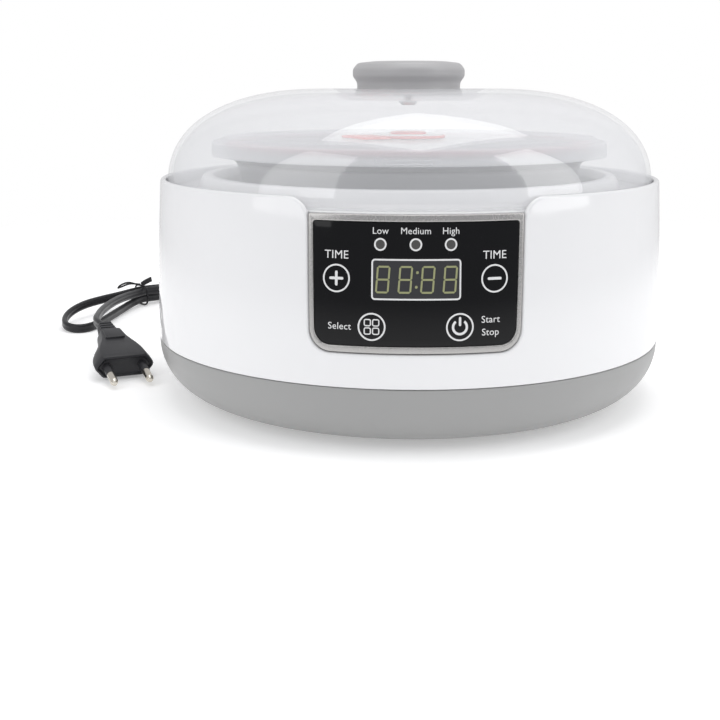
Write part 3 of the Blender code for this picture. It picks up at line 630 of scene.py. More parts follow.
def twin_section(width, thick, count=9):
    """Two round cores side by side with a groove between them, the wide way upright."""
    radius = thick / 2
    lift = width / 2 - radius
    low = -math.asin(min(0.96, lift / radius))
    upper = []
    for i in range(count + 1):
        turn = low + (math.pi - 2 * low) * i / count
        upper.append((radius * math.cos(turn), lift + radius * math.sin(turn)))
    return upper + [(-x, -y) for x, y in upper]


class YOGURT_OT_mains_lead(bpy.types.Operator):
    """Models the flat mains lead with its tie, strain relief and plug"""
    bl_idname = "yogurt.mains_lead"
    bl_label = "Mains lead"

    def execute(self, context):
        sizes = settings().lead
        route = smooth_route(lead_points(), 3 * MM)
        bm = bmesh.new()
        add_swept(bm, route, twin_section(sizes.width, sizes.thick))
        lead = publish("mains_lead", bm, "flex", "machine",
                       ("cord_lead", "cord_hank", "cord_loop", "cord_tail"), sharp=60.0)
        tie = self.tie(sizes)
        self.relief()
        plug, pins = make_plug(sizes)
        return {"FINISHED"}

    def tie(self, sizes):
        """A wire tie: a hoop round three strands, a small bow and a flat end."""
        bm = bmesh.new()
        hoop = []
        half_wide, half_high, middle_z = 6.9, 6.4, 7.2
        for c, s in circle(1.0, 32):
            across = math.copysign(abs(c) ** 0.5, c) * half_wide
            up = math.copysign(abs(s) ** 0.5, s) * half_high
            hoop.append(Vector(at_tie(0.0, across, middle_z + up)) * MM)
        add_swept(bm, hoop, circle(sizes.wire, 8), cyclic=True)
        bow = [at_tie(0.6, 2, 13.4), at_tie(-4, 0, 15.0), at_tie(-9, -2, 16.4), at_tie(-14, -3, 15.2),
               at_tie(-16, -3.5, 13.4), at_tie(-12, -5.5, 13.4), at_tie(-6, -4.5, 14.8),
               at_tie(0.8, -2, 14.0)]
        add_swept(bm, smooth_route(bow, 1.2 * MM), circle(sizes.wire, 8))
        end = [at_tie(0.6, 0, 14.0), at_tie(3, -0.6, 14.9), at_tie(6, -1.4, 15.6), at_tie(10, -2.2, 16.4)]
        add_swept(bm, smooth_route(end, 1.5 * MM), [(-0.45 * MM, -1.6 * MM), (0.45 * MM, -1.6 * MM),
                                                    (0.45 * MM, 1.6 * MM), (-0.45 * MM, 1.6 * MM)])
        return publish("tie_wire", bm, "flex", "machine", ("cord_tie",), sharp=50.0)

    def relief(self):
        """A ribbed, tapered sleeve where the lead leaves the base."""
        low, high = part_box("cord_relief")
        root, tip = 104.6, 141.5             # distances from the machine's axis
        profile = [(0.0, root), (5.8, root, 0.5), (5.8, root + 2.4, 0.4), (4.1, root + 3.8),
                   (4.1, root + 15.0, 0.2), (5.7, root + 15.3, 0.5), (5.7, root + 18.0, 0.8)]
        ribs, pitch = 6, 3.0
        for i in range(ribs):
            start = root + 18.8 + i * pitch
            wide = 4.9 - 0.22 * i
            profile += [(wide - 0.8, start, 0.2), (wide, start + 0.4, 0.35),
                        (wide - 0.1, start + 1.9, 0.35), (wide - 0.8, start + 2.3, 0.2)]
        profile += [(3.4, tip, 0.4), (0.0, tip)]
        bm = bmesh.new()
        add_turned(bm, rounded(in_mm(profile), 3), 32)
        way = Vector((math.cos(RELIEF_ANGLE), math.sin(RELIEF_ANGLE), 0.0))
        lift = Matrix.Translation((0, 0, (low[2] + high[2]) / 2))
        turn = way.to_track_quat("Z", "Y").to_matrix().to_4x4()
        bmesh.ops.transform(bm, matrix=lift @ turn, verts=bm.verts)
        publish("lead_sleeve", bm, "plug", "machine", ("cord_relief",))


def plug_section(w, h):
    """A flat six-sided section with soft corners."""
    corners = [(w, 0, 1.6), (0.70 * w, h, 1.4), (-0.70 * w, h, 1.4), (-w, 0, 1.6), (-0.70 * w, -h, 1.4),
               (0.70 * w, -h, 1.4)]
    return rounded(in_mm(corners), 2, closed=True)


def add_plug_body(bm):
    """The flat bell-shaped body and its ribbed neck, drawn out from the face section by section."""
    # distance behind the face, half width and half thickness
    body = [(0.0, 14.4, 4.9), (0.5, 15.1, 5.6), (1.4, 15.5, 6.0), (4.0, 15.5, 6.1), (8.0, 15.2, 6.2),
            (12.0, 14.4, 6.2), (16.0, 13.0, 6.2), (20.0, 11.2, 6.2), (24.0, 9.6, 6.2), (28.0, 8.5, 6.1),
            (33.0, 7.8, 6.0), (36.2, 7.3, 5.8), (37.0, 6.4, 5.0)]
    neck = []
    for i in range(4):
        start = 37.8 + i * 3.3
        taper = 0.42 * i
        neck += [(start, 4.6 - taper, 3.9 - 0.1 * i), (start + 0.9, 4.6 - taper, 3.9 - 0.1 * i),
                 (start + 1.2, 5.8 - taper, 4.6 - 0.15 * i), (start + 2.8, 5.7 - taper, 4.6 - 0.15 * i)]
    sections = body + neck + [(PLUG_LENGTH - 0.6, 3.7, 3.3)]
    back, wide, high = sections[0]
    front = bm.faces.new([bm.verts.new((x, y, 0.0)) for x, y in plug_section(wide, high)])
    face = front
    for next_back, next_wide, next_high in sections[1:]:
        grown = bmesh.ops.extrude_face_region(bm, geom=[face])["geom"]
        if face is not front:
            bmesh.ops.delete(bm, geom=[face], context="FACES_ONLY")
        face = [f for f in grown if isinstance(f, bmesh.types.BMFace)][0]
        verts = [v for v in grown if isinstance(v, bmesh.types.BMVert)]
        bmesh.ops.scale(bm, vec=(next_wide / wide, next_high / high, 1.0), verts=verts)
        bmesh.ops.translate(bm, vec=(0, 0, (next_back - back) * MM), verts=verts)
        back, wide, high = next_back, next_wide, next_high
    bmesh.ops.inset_individual(bm, faces=[front], thickness=1.1 * MM, depth=-0.9 * MM)


def add_thumb_pad(bm):
    pad = bmesh.new()
    low, top = 5.4 * MM, 7.1 * MM
    outline = [(-5.2, 22.5, 1.0), (5.2, 22.5, 1.0), (4.4, 34.0, 1.0), (-4.4, 34.0, 1.0)]
    add_slab(pad, rounded(in_mm(outline), 3, closed=True), low, top - low)
    edges = [e for e in pad.edges if all(abs(v.co.y - top) < MERGE for v in e.verts)]
    round_edges(pad, edges, 0.35 * MM, 2)
    join(bm, pad)


def add_at_pins(bm, profile, steps):
    """Turns a profile about each of the two pins' axes."""
    for offset in (-PIN_SPACING / 2, PIN_SPACING / 2):
        add_turned(bm, rounded(in_mm(profile), steps), 20, (offset * MM, 0.0))


def make_plug(sizes):
    """Two-pin plug: its body with a thumb pad, a sleeve on the root of each pin, and the round pins."""
    wide = PLUG_AXIS.cross(Vector((0, 0, 1))).normalized()
    up = wide.cross(PLUG_AXIS)
    turn = Matrix((wide, up, -PLUG_AXIS)).transposed().to_4x4()
    place = Matrix.Translation(PLUG_FACE_AT * MM) @ turn
    r = sizes.pin / MM
    bm = bmesh.new()
    add_plug_body(bm)
    add_thumb_pad(bm)
    add_at_pins(bm, [(0.0, 1.0), (r + 0.15, 1.0), (r + 0.15, -8.6, 0.2), (0.0, -8.7)], 2)
    bmesh.ops.transform(bm, matrix=place, verts=bm.verts)
    plug = publish("plug_shell", bm, "plug", "machine", ("plug_body",), sharp=28.0)

    bm = bmesh.new()
    add_at_pins(bm, [(0.0, 1.0), (r, 1.0), (r, -16.8, 0.4), (r - 0.75, -18.6, 0.6), (0.0, -19.0)], 4)
    bmesh.ops.transform(bm, matrix=place, verts=bm.verts)
    pins = publish("plug_pins", bm, "pin", "machine", ("plug_pin_1", "plug_pin_2"))
    return plug, pins


# ---------------------------------------------------------------- base

class YOGURT_OT_base(bpy.types.Operator):
    """Models the grey base with its feet and screws"""
    bl_idname = "yogurt.base"
    bl_label = "Base"

    def execute(self, context):
        sizes = settings().body
        under = BASE_LOW[2]
        bow = SEAM_Z - under - 1.4 * MM
        wall = 2.5 * MM
        flat = BODY_R - bow
        outer = [(0.0, under), (flat - 26 * MM, under), (flat - 24 * MM, under + 0.8 * MM, 0.5 * MM),
                 (flat - 22 * MM, under, 0.5 * MM)]
        inner = []
        for i in range(17):
            turn = math.pi / 2 * i / 16
            for side, reach in ((outer, bow), (inner, bow - wall)):
                side.append((flat + reach * math.sin(turn), under + bow - reach * math.cos(turn)))
        lip = [(BODY_R, SEAM_Z, 0.5 * MM), (BODY_R - wall, SEAM_Z, 0.3 * MM)]
        profile = outer + lip + inner[::-1] + [(0.0, under + wall)]
        turned("base_casing", rounded(profile, 3), "base", "machine", ("base_shell",),
               sides=sizes.sides)
        for i in range(1, 5):
            self.foot(i)
            self.screw(i)
        return {"FINISHED"}

    def foot(self, i):
        node = f"rubber_foot_{i}"
        low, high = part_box(node)
        wide = (high[0] - low[0]) / 2
        tread = wide - 0.9 * MM
        profile = [(0.0, 0.5 * MM), (2.2 * MM, 0.5 * MM, 0.2 * MM), (2.8 * MM, 0.0, 0.2 * MM),
                   (tread, 0.0, 0.5 * MM), (wide, high[2], 0.2 * MM), (0.0, high[2])]
        turned(f"foot_pad_{i}", rounded(profile, 3), "rubber", "machine", (node,), sides=36,
               centre=middle(node))

    def screw(self, i):
        node = f"base_screw_{i}"
        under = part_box(node)[0][2]
        profile = in_mm([(0.0, 0.6), (0.9, 0.6, 0.1), (1.0, 0.0, 0.1), (3.2, 0.1, 0.4), (3.2, 0.9, 0.2),
                         (1.2, 1.0)] + thread(0.95, 1.2, 1.6, 14) + [(0.3, 13.2), (0.0, 13.3)])
        profile = [(point[0], point[1] + under, *point[2:]) for point in profile]
        turned(f"casing_screw_{i}", rounded(profile, 2), "screw", "machine", (node,),
               sides=20, centre=middle(node), sharp=50.0)


# ---------------------------------------------------------------- white shell and chamber

FRAME_LAP = 0.9 * MM               # how much wider the frame is on each side than its CAD node
FRAME_LEAN = math.radians(0.6)     # how far its sides draw in from top to bottom, round the body


def frame_half(z):
    """Half width of the panel's frame at a height, measured round the body."""
    part = (z - BEZEL_LOW[2]) / (BEZEL_HIGH[2] - BEZEL_LOW[2])
    top = math.asin(BEZEL_HIGH[0] / shell_radius(BEZEL_HIGH[2])) * BODY_R
    return top + FRAME_LAP - (1.0 - part) * FRAME_LEAN * BODY_R


def panel_outline(side, top, bottom, corner, brow_corner=0.0, steps=8):
    """The panel's outline, drawn in by given margins at its sides, top and bottom."""
    low, high = BEZEL_LOW[2] + bottom, BEZEL_HIGH[2] - top
    wide_low, wide_high = frame_half(low) - side, frame_half(high) - side
    corners = [(-wide_low, low, corner), (wide_low, low, corner), (wide_high, high, brow_corner),
               (-wide_high, high, brow_corner)]
    return rounded(corners, steps, closed=True)


class YOGURT_OT_shell(bpy.types.Operator):
    """Models the white shell with its front opening, the chamber and its warming plate"""
    bl_idname = "yogurt.shell"
    bl_label = "White shell"

    def execute(self, context):
        sizes = settings().body
        low, high = SEAM_Z + sizes.seam, SHELL_HIGH[2]
        around = math.pi * BODY_R
        play = 0.35 * MM
        floor = BEZEL_LOW[2] - play
        wide_low, wide_high = frame_half(floor) + play, frame_half(BEZEL_HIGH[2]) + play
        corner = settings().panel.corner
        right = rounded([(0.0, floor), (wide_low, floor, corner), (wide_high, high, sizes.flare),
                         (wide_high + 30 * MM, high)], 8)[1:-1]
        left = [(-x, z) for x, z in right]
        outline = [(-around, low), (around, low), (around, high), *right[::-1], *left, (-around, high)]
        bm = bmesh.new()
        add_slab(bm, outline, 0.0, sizes.wall)
        rim, seam = [], []
        for edge in bm.edges:
            a, b = edge.verts[0].co, edge.verts[1].co
            runs_through = abs(a.y - b.y) > MERGE
            at_end = abs(a.x - b.x) < MERGE and abs(abs(a.x) - around) < MERGE
            if runs_through or at_end:
                continue
            (seam if max(a.z, b.z) < low + MERGE else rim).append(edge)
        round_edges(bm, rim, sizes.edge, 4)
        round_edges(bm, [e for e in seam if e.is_valid], 0.4 * MM, 2)
        ends = [f for f in bm.faces if abs(abs(f.calc_center_median().x) - around) < MERGE]
        bmesh.ops.delete(bm, geom=ends, context="FACES_ONLY")
        step = 2 * around / sizes.sides
        slice_mesh(bm, (1, 0, 0), [-around + step * i for i in range(1, sizes.sides)])
        rows = [low + (high - low) * i / 12 for i in range(1, 12)]
        slice_mesh(bm, (0, 0, 1), rows)
        bend_round(bm)
        publish("shell_casing", bm, "shell", "machine", ("outer_shell",), weighted=True)
        self.chamber(sizes)
        return {"FINISHED"}

    def chamber(self, sizes):
        """The chamber: a deep cup whose rolled rim stands inside the dome, and the ledge under the dome."""
        deck = DOME_LOW[2] / MM - 0.3
        under_deck = deck - 2.4
        rim = CHAMBER_HIGH[2] / MM
        wide = CHAMBER_HIGH[0] / MM
        plate_wide = PLATE_HIGH[0] / MM + 0.5
        floor = PLATE_LOW[2] / MM - 0.3
        step, under = floor + 1.4, floor - 1.7
        cup = [(66.0, floor), (plate_wide, floor, 0.3), (plate_wide, step, 0.5), (80.0, step, 4.0),
               (84.3, step + 5.0, 9.0), (89.6, rim - 3.4, 3.0), (92.6, rim, 2.2), (97.0, rim, 2.4),
               (99.4, deck + 1.5, 1.5), (101.0, deck, 1.5), (wide, deck, 0.6), (wide, under_deck, 0.6),
               (97.2, under_deck, 1.0), (96.0, rim - 2.5, 1.2), (93.2, rim - 2.3, 1.0),
               (91.4, deck + 1.6, 2.0), (86.3, step + 3.0, 6.0), (83.0, under, 3.0), (66.0, under)]
        turned("chamber_cup", rounded(in_mm(cup), 5), "chamber", "machine", ("inner_chamber",),
               sides=sizes.sides)
        low, high = PLATE_LOW[2], PLATE_HIGH[2]
        wide = PLATE_HIGH[0]
        plate = [(0.0, low), (wide, low, 0.3 * MM), (wide, high, 0.4 * MM), (62 * MM, high),
                 (61 * MM, high - 0.5 * MM, 0.3 * MM), (60 * MM, high), (30 * MM, high),
                 (29 * MM, high - 0.5 * MM, 0.3 * MM), (28 * MM, high), (0.0, high)]
        turned("heater_disc", rounded(plate, 3), "plate", "machine", ("warming_plate",),
               sides=96)


# ---------------------------------------------------------------- control panel

# Places on the panel: degrees round the body from the panel's middle, and heights
DEGREE = BODY_R * math.radians(1.0)
LAMP_TURNS = (-6.75, -0.15, 6.4)
TIME_TURNS = (-15.05, 14.85)
SELECT_TURN, START_TURN = -8.25, 8.25
SELECT_WORD_TURN, START_WORD_TURN = -14.4, 14.15
LAMP_Z, LAMP_WORD_Z = 86.3 * MM, 91.6 * MM
TIME_WORD_Z = 82.2 * MM
DISPLAY_Z = 72.9 * MM
LOWER_KEY_Z = 54.4 * MM
# Depths behind the panel's face
LENS_DEPTH = 0.45 * MM
PRINT_DEPTH = 0.40 * MM
DIGIT_DEPTH = 0.35 * MM


class Print:
    """Flat shapes at one depth behind the panel's face, before they are bent round the body."""

    def __init__(self, depth, thick=0.10 * MM):
        self.bm = bmesh.new()
        self.depth = depth
        self.thick = thick

    def slab(self, outline, hole=None):
        add_slab(self.bm, outline, self.depth, self.thick, hole)

    def ring(self, x, z, outer, inner=0.0, sides=40):
        """A ring, or a disc if its inner radius is 0."""
        near, far = self.depth, self.depth + self.thick
        section = ((outer, near), (outer, far), (inner, far), (inner, near))
        verts = [self.bm.verts.new((x + r, y, z)) for r, y in section]
        pairs = list(zip(verts, verts[1:] + verts[:1]))
        if inner == 0.0:
            del pairs[2]
        edges = [self.bm.edges.new(pair) for pair in pairs]
        bmesh.ops.spin(self.bm, geom=verts + edges, cent=(x, near, z), axis=(0, 1, 0), angle=FULL_TURN,
                       steps=sides, use_merge=True)

    def bar(self, x, z, long, wide, upright=False):
        """A bar with round ends."""
        half_wide, half_high = (wide / 2, long / 2) if upright else (long / 2, wide / 2)
        self.slab(rectangle(x, z, half_wide, half_high, wide * 0.495))

    def frame(self, x, z, half_wide, half_high, corner, stroke):
        """The outline of a rectangle with round corners."""
        outer, inner = [rectangle(x, z, half_wide + grow, half_high + grow, corner + grow)
                        for grow in (stroke / 2, -stroke / 2)]
        self.slab(outer, hole=inner)

    def words(self, words, x, z, height):
        """Letters of a given capital height, centred on a place."""
        curve = bpy.data.curves.new("words", "FONT")
        curve.body = words
        curve.size = height / 0.73
        curve.align_x = "CENTER"
        curve.extrude = self.thick / 2
        curve.resolution_u = 3
        curve.space_character = 1.03
        writer = bpy.data.objects.new("words", curve)
        mesh = bpy.data.meshes.new_from_object(writer)
        drop_curve(writer)
        mesh.transform(Matrix.Rotation(math.pi / 2, 4, "X"))
        mesh.transform(Matrix.Translation((x, self.depth + self.thick / 2, z - height / 2)))
        add_mesh(self.bm, mesh)

    def power_sign(self, x, z):
        """An open ring with a bar in its gap."""
        radius, stroke, gap = 2.75 * MM, 0.95 * MM, math.radians(38.0)
        start = math.pi / 2 + gap
        near, far = self.depth, self.depth + self.thick
        outer, inner = radius + stroke / 2, radius - stroke / 2
        verts = [self.bm.verts.new((x + r * math.cos(start), y, z + r * math.sin(start)))
                 for r, y in ((outer, near), (outer, far), (inner, far), (inner, near))]
        face = self.bm.faces.new(verts)
        bmesh.ops.spin(self.bm, geom=[face], cent=(x, near, z), axis=(0, -1, 0),
                       angle=FULL_TURN - 2 * gap, steps=26)
        self.bar(x, z + 2.2 * MM, 3.6 * MM, stroke, upright=True)

    def segment(self, x, z, long, wide, upright):
        """One display segment: a bar with pointed ends."""
        tip, half = long / 2 + wide * 0.32, wide / 2
        points = [(-tip, 0), (half - tip, -half), (tip - half, -half), (tip, 0), (tip - half, half),
                  (half - tip, half)]
        if upright:
            points = [(-v, u) for u, v in points]
        self.slab([(x + u, z + v) for u, v in points])


def bent(bm, name, finish, nodes=(), columns=0, rows=0, weighted=False):
    """Bends flat plates round the body, sliced first if they are wide, and makes them a piece."""
    reach = max(abs(v.co.x) for v in bm.verts)
    low, high = min(v.co.z for v in bm.verts), max(v.co.z for v in bm.verts)
    slice_mesh(bm, (1, 0, 0), [reach * (2 * (i + 0.5) / columns - 1) for i in range(columns)])
    slice_mesh(bm, (0, 0, 1), [low + (high - low) * (i + 0.5) / rows for i in range(rows)])
    bend_round(bm)
    return publish(name, bm, finish, "machine", nodes, weighted=weighted)


class YOGURT_OT_control_panel(bpy.types.Operator):
    """Models the panel's silver frame, gloss lens, print and display"""
    bl_idname = "yogurt.control_panel"
    bl_label = "Control panel"

    def execute(self, context):
        sizes = settings().panel
        self.frame(sizes)
        self.lens(sizes)
        self.legend(sizes)
        self.window(sizes)
        self.digits(sizes)
        self.lamps(sizes)
        return {"FINISHED"}

    def frame(self, sizes):
        bm = bmesh.new()
        add_slab(bm, panel_outline(0.0, 0.0, 0.0, sizes.corner, 0.6 * MM), 0.0, 3.2 * MM,
                 hole=panel_outline(sizes.side, sizes.brow, sizes.brow, sizes.corner - 2.4 * MM, 1.2 * MM))
        front = [e for e in bm.edges
                 if all(abs(v.co.y) < MERGE for v in e.verts) and e.calc_face_angle(0) > 1.0]
        round_edges(bm, front, 0.55 * MM, 3)
        bent(bm, "panel_frame", "silver", ("panel_bezel",), 44, 9, weighted=True)

    def lens(self, sizes):
        play = 0.15 * MM
        brow = sizes.brow + play
        outline = panel_outline(sizes.side + play, brow, brow, sizes.corner - 2.6 * MM, 1.1 * MM)
        bm = bmesh.new()
        add_slab(bm, outline, LENS_DEPTH, 1.6 * MM)
        front = [e for e in bm.edges if all(abs(v.co.y - LENS_DEPTH) < MERGE for v in e.verts)]
        round_edges(bm, front, 0.3 * MM, 2)
        bent(bm, "panel_glass", "lens", ("panel_lens",), 44, 9, weighted=True)

    def legend(self, sizes):
        """White print: lamp rings, key rings with their signs, and plain words."""
        ink = Print(PRINT_DEPTH)
        stroke, small = sizes.stroke, sizes.letter * 0.85
        sign = sizes.key * 1.05
        sign_stroke = 1.05 * MM
        for turn, word in zip(LAMP_TURNS, ("Low", "Medium", "High")):
            ink.ring(turn * DEGREE, LAMP_Z, sizes.lamp, sizes.lamp - stroke)
            ink.words(word, turn * DEGREE, LAMP_WORD_Z, sizes.letter * 0.8)
        for turn in TIME_TURNS:
            ink.words("TIME", turn * DEGREE, TIME_WORD_Z, sizes.letter)
            ink.ring(turn * DEGREE, DISPLAY_Z, sizes.key, sizes.key - stroke, 56)
            ink.bar(turn * DEGREE, DISPLAY_Z, sign, sign_stroke)
        ink.bar(TIME_TURNS[0] * DEGREE, DISPLAY_Z, sign, sign_stroke, upright=True)
        for turn in (SELECT_TURN, START_TURN):
            ink.ring(turn * DEGREE, LOWER_KEY_Z, sizes.key, sizes.key - stroke, 56)
        for dx in (-1.65 * MM, 1.65 * MM):
            for dz in (-1.65 * MM, 1.65 * MM):
                ink.frame(SELECT_TURN * DEGREE + dx, LOWER_KEY_Z + dz, 1.22 * MM, 1.22 * MM, 0.6 * MM,
                          0.45 * MM)
        ink.power_sign(START_TURN * DEGREE, LOWER_KEY_Z)
        ink.words("Select", SELECT_WORD_TURN * DEGREE, LOWER_KEY_Z, small)
        ink.words("Start", START_WORD_TURN * DEGREE, LOWER_KEY_Z + 2.8 * MM, small)
        ink.words("Stop", START_WORD_TURN * DEGREE, LOWER_KEY_Z - 2.2 * MM, small)
        bent(ink.bm, "panel_legend", "print", ())

    def window(self, sizes):
        """The display's window in its printed frame."""
        edge = Print(0.37 * MM)
        edge.frame(0.0, DISPLAY_Z, 17.2 * MM, 7.6 * MM, 1.1 * MM, sizes.stroke)
        bent(edge.bm, "display_frame", "print", (), 16, 4)
        pane = Print(PRINT_DEPTH)
        pane.slab(rectangle(0.0, DISPLAY_Z, 17.0 * MM, 7.4 * MM, 0.9 * MM))
        bent(pane.bm, "display_window", "window", (), 16, 4)

    def digits(self, sizes):
        """Four unlit digits of seven slanted segments, with a colon between them."""
        ink = Print(DIGIT_DEPTH, 0.07 * MM)
        stroke, gap = 0.72 * MM, 0.6 * MM
        across, up = sizes.digit * 0.5 - stroke, sizes.digit - stroke
        for k in range(4):
            x = (k - 1.5) * sizes.pitch + 0.1 * MM
            for side, level in ((0, 1), (0, 0), (0, -1), (-1, 0.5), (1, 0.5), (-1, -0.5), (1, -0.5)):
                long = up / 2 - gap if side else across - gap
                ink.segment(x + side * across / 2, DISPLAY_Z + level * up / 2, long, stroke, side != 0)
        for lift in (-2.8 * MM, 2.8 * MM):
            ink.ring(0.2 * MM, DISPLAY_Z + lift, 0.55 * MM, sides=16)
        slant = math.tan(math.radians(4.0))
        for vert in ink.bm.verts:
            vert.co.x += (vert.co.z - DISPLAY_Z) * slant
        bent(ink.bm, "display_digits", "digits", ())

    def lamps(self, sizes):
        """The three lamps in their printed rings."""
        discs = Print(0.42 * MM, 0.08 * MM)
        for turn in LAMP_TURNS:
            discs.ring(turn * DEGREE, LAMP_Z, sizes.lamp - sizes.stroke + 0.05 * MM, sides=32)
        bent(discs.bm, "lamp_windows", "lamp", ())


# ---------------------------------------------------------------- dome, pot, lid and jars

class YOGURT_OT_dome(bpy.types.Operator):
    """Models the milky dome with its knob"""
    bl_idname = "yogurt.dome"
    bl_label = "Dome and knob"

    def crown(self, sizes, inset):
        """The crown from the skirt to the crest, fuller than an ellipse."""
        spring = DOME_LOW[2] + 1.7 * MM
        wide = DOME_R - sizes.dome_crest - inset
        tall = DOME_HIGH[2] - spring - inset
        power = 2 / sizes.dome_power
        points = []
        for i in range(41):
            turn = math.pi / 2 * i / 40
            points.append((sizes.dome_crest + wide * max(0.0, math.cos(turn)) ** power,
                           spring + tall * math.sin(turn) ** power))
        return points

    def execute(self, context):
        sizes = settings().body
        foot, wall = DOME_LOW[2], sizes.dome_wall
        hollow = KNOB_LOW[2] - 0.3 * MM
        outside = [(DOME_R, foot, 0.5 * MM)] + self.crown(sizes, 0.0)
        crest = DOME_HIGH[2]
        dimple = [(35.6 * MM, crest, 3.0 * MM), (29.4 * MM, hollow, 3.2 * MM), (2.2 * MM, hollow),
                  (2.2 * MM, hollow - wall), (29.9 * MM, hollow - wall, 3.5 * MM),
                  (36.4 * MM, crest - wall, 2.5 * MM)]
        inside = self.crown(sizes, wall)[::-1] + [(DOME_R - wall, foot, 0.5 * MM)]
        profile = rounded(outside + dimple + inside, 6, closed=True)
        turned("dome_shell", profile, "dome", "dome", ("dome_cover",), sides=sizes.sides)
        self.knob()
        return {"FINISHED"}

    def knob(self):
        low, high = KNOB_LOW[2] / MM, KNOB_HIGH[2] / MM
        head = KNOB_HIGH[0] / MM
        skin = [(0.0, high), (17.0, high - 0.05, 20.0), (24.0, high - 0.8, 3.4), (head, high - 3.6, 2.8),
                (head, high - 6.8, 2.8), (24.2, high - 9.6, 3.6), (24.1, high - 12.4, 3.2),
                (head - 0.2, low, 0.3)]
        hollow = [(22.2, low), (21.8, high - 3.6, 1.5), (5.0, high - 3.4, 1.0), (5.0, low), (1.9, low),
                  (1.9, high - 5.0), (0.0, high - 5.0)]
        turned("knob_cap", rounded(in_mm(skin + hollow), 7), "knob", "dome", ("dome_knob",),
               sides=96)
        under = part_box("knob_screw")[0][2] / MM
        bolt = [(0.0, under + 0.9), (1.1, under + 0.9, 0.1), (1.2, under + 0.1, 0.1), (3.0, under, 0.8),
                (4.5, under + 1.4, 0.3), (4.5, under + 2.0), (1.5, under + 2.0)]
        bolt += thread(1.2, 1.5, under + 2.6, 13) + [(0.0, under + 13.2)]
        turned("knob_bolt", rounded(in_mm(bolt), 2), "screw", "dome", ("knob_screw",),
               sides=24, sharp=50.0)


class YOGURT_OT_pot(bpy.types.Operator):
    """Models the spun steel pot with its rolled rim"""
    bl_idname = "yogurt.pot"
    bl_label = "Pot"

    def execute(self, context):
        sizes = settings().vessels
        low, high = POT_LOW[2] / MM, POT_HIGH[2] / MM
        rim = POT_HIGH[0] / MM
        body, wall = sizes.pot_body / MM, sizes.pot_wall / MM
        bow = 16.0
        outer = [(0.0, low + 0.6), (40.0, low + 0.6, 1.0), (42.0, low, 1.0), (body - 1.5, low, bow),
                 (body, low + 22.0, 20.0), (body + 0.4, high - 13.3, 6.0), (body + 2.8, high - 5.9, 3.0),
                 (rim - 1.8, high - 2.6, 2.0)]
        roll = [(rim, high - 2.4, 0.9), (rim, high, 0.9), (rim - 2.4, high, 0.9),
                (rim - 3.0, high - 1.5, 0.5)]
        inner = [(body + 1.9, high - 5.2, 3.0), (body - wall + 0.4, high - 13.0, 6.0),
                 (body - wall, low + 22.0, 20.0), (body - 1.5 - wall, low + wall, bow - wall),
                 (42.0, low + wall, 1.0), (40.0, low + wall + 0.6, 1.0), (0.0, low + wall + 0.6)]
        turned("pot_bowl", rounded(in_mm(outer + roll + inner), 8), "pot", "pot", ("inner_pot",),
               sides=settings().body.sides)
        return {"FINISHED"}


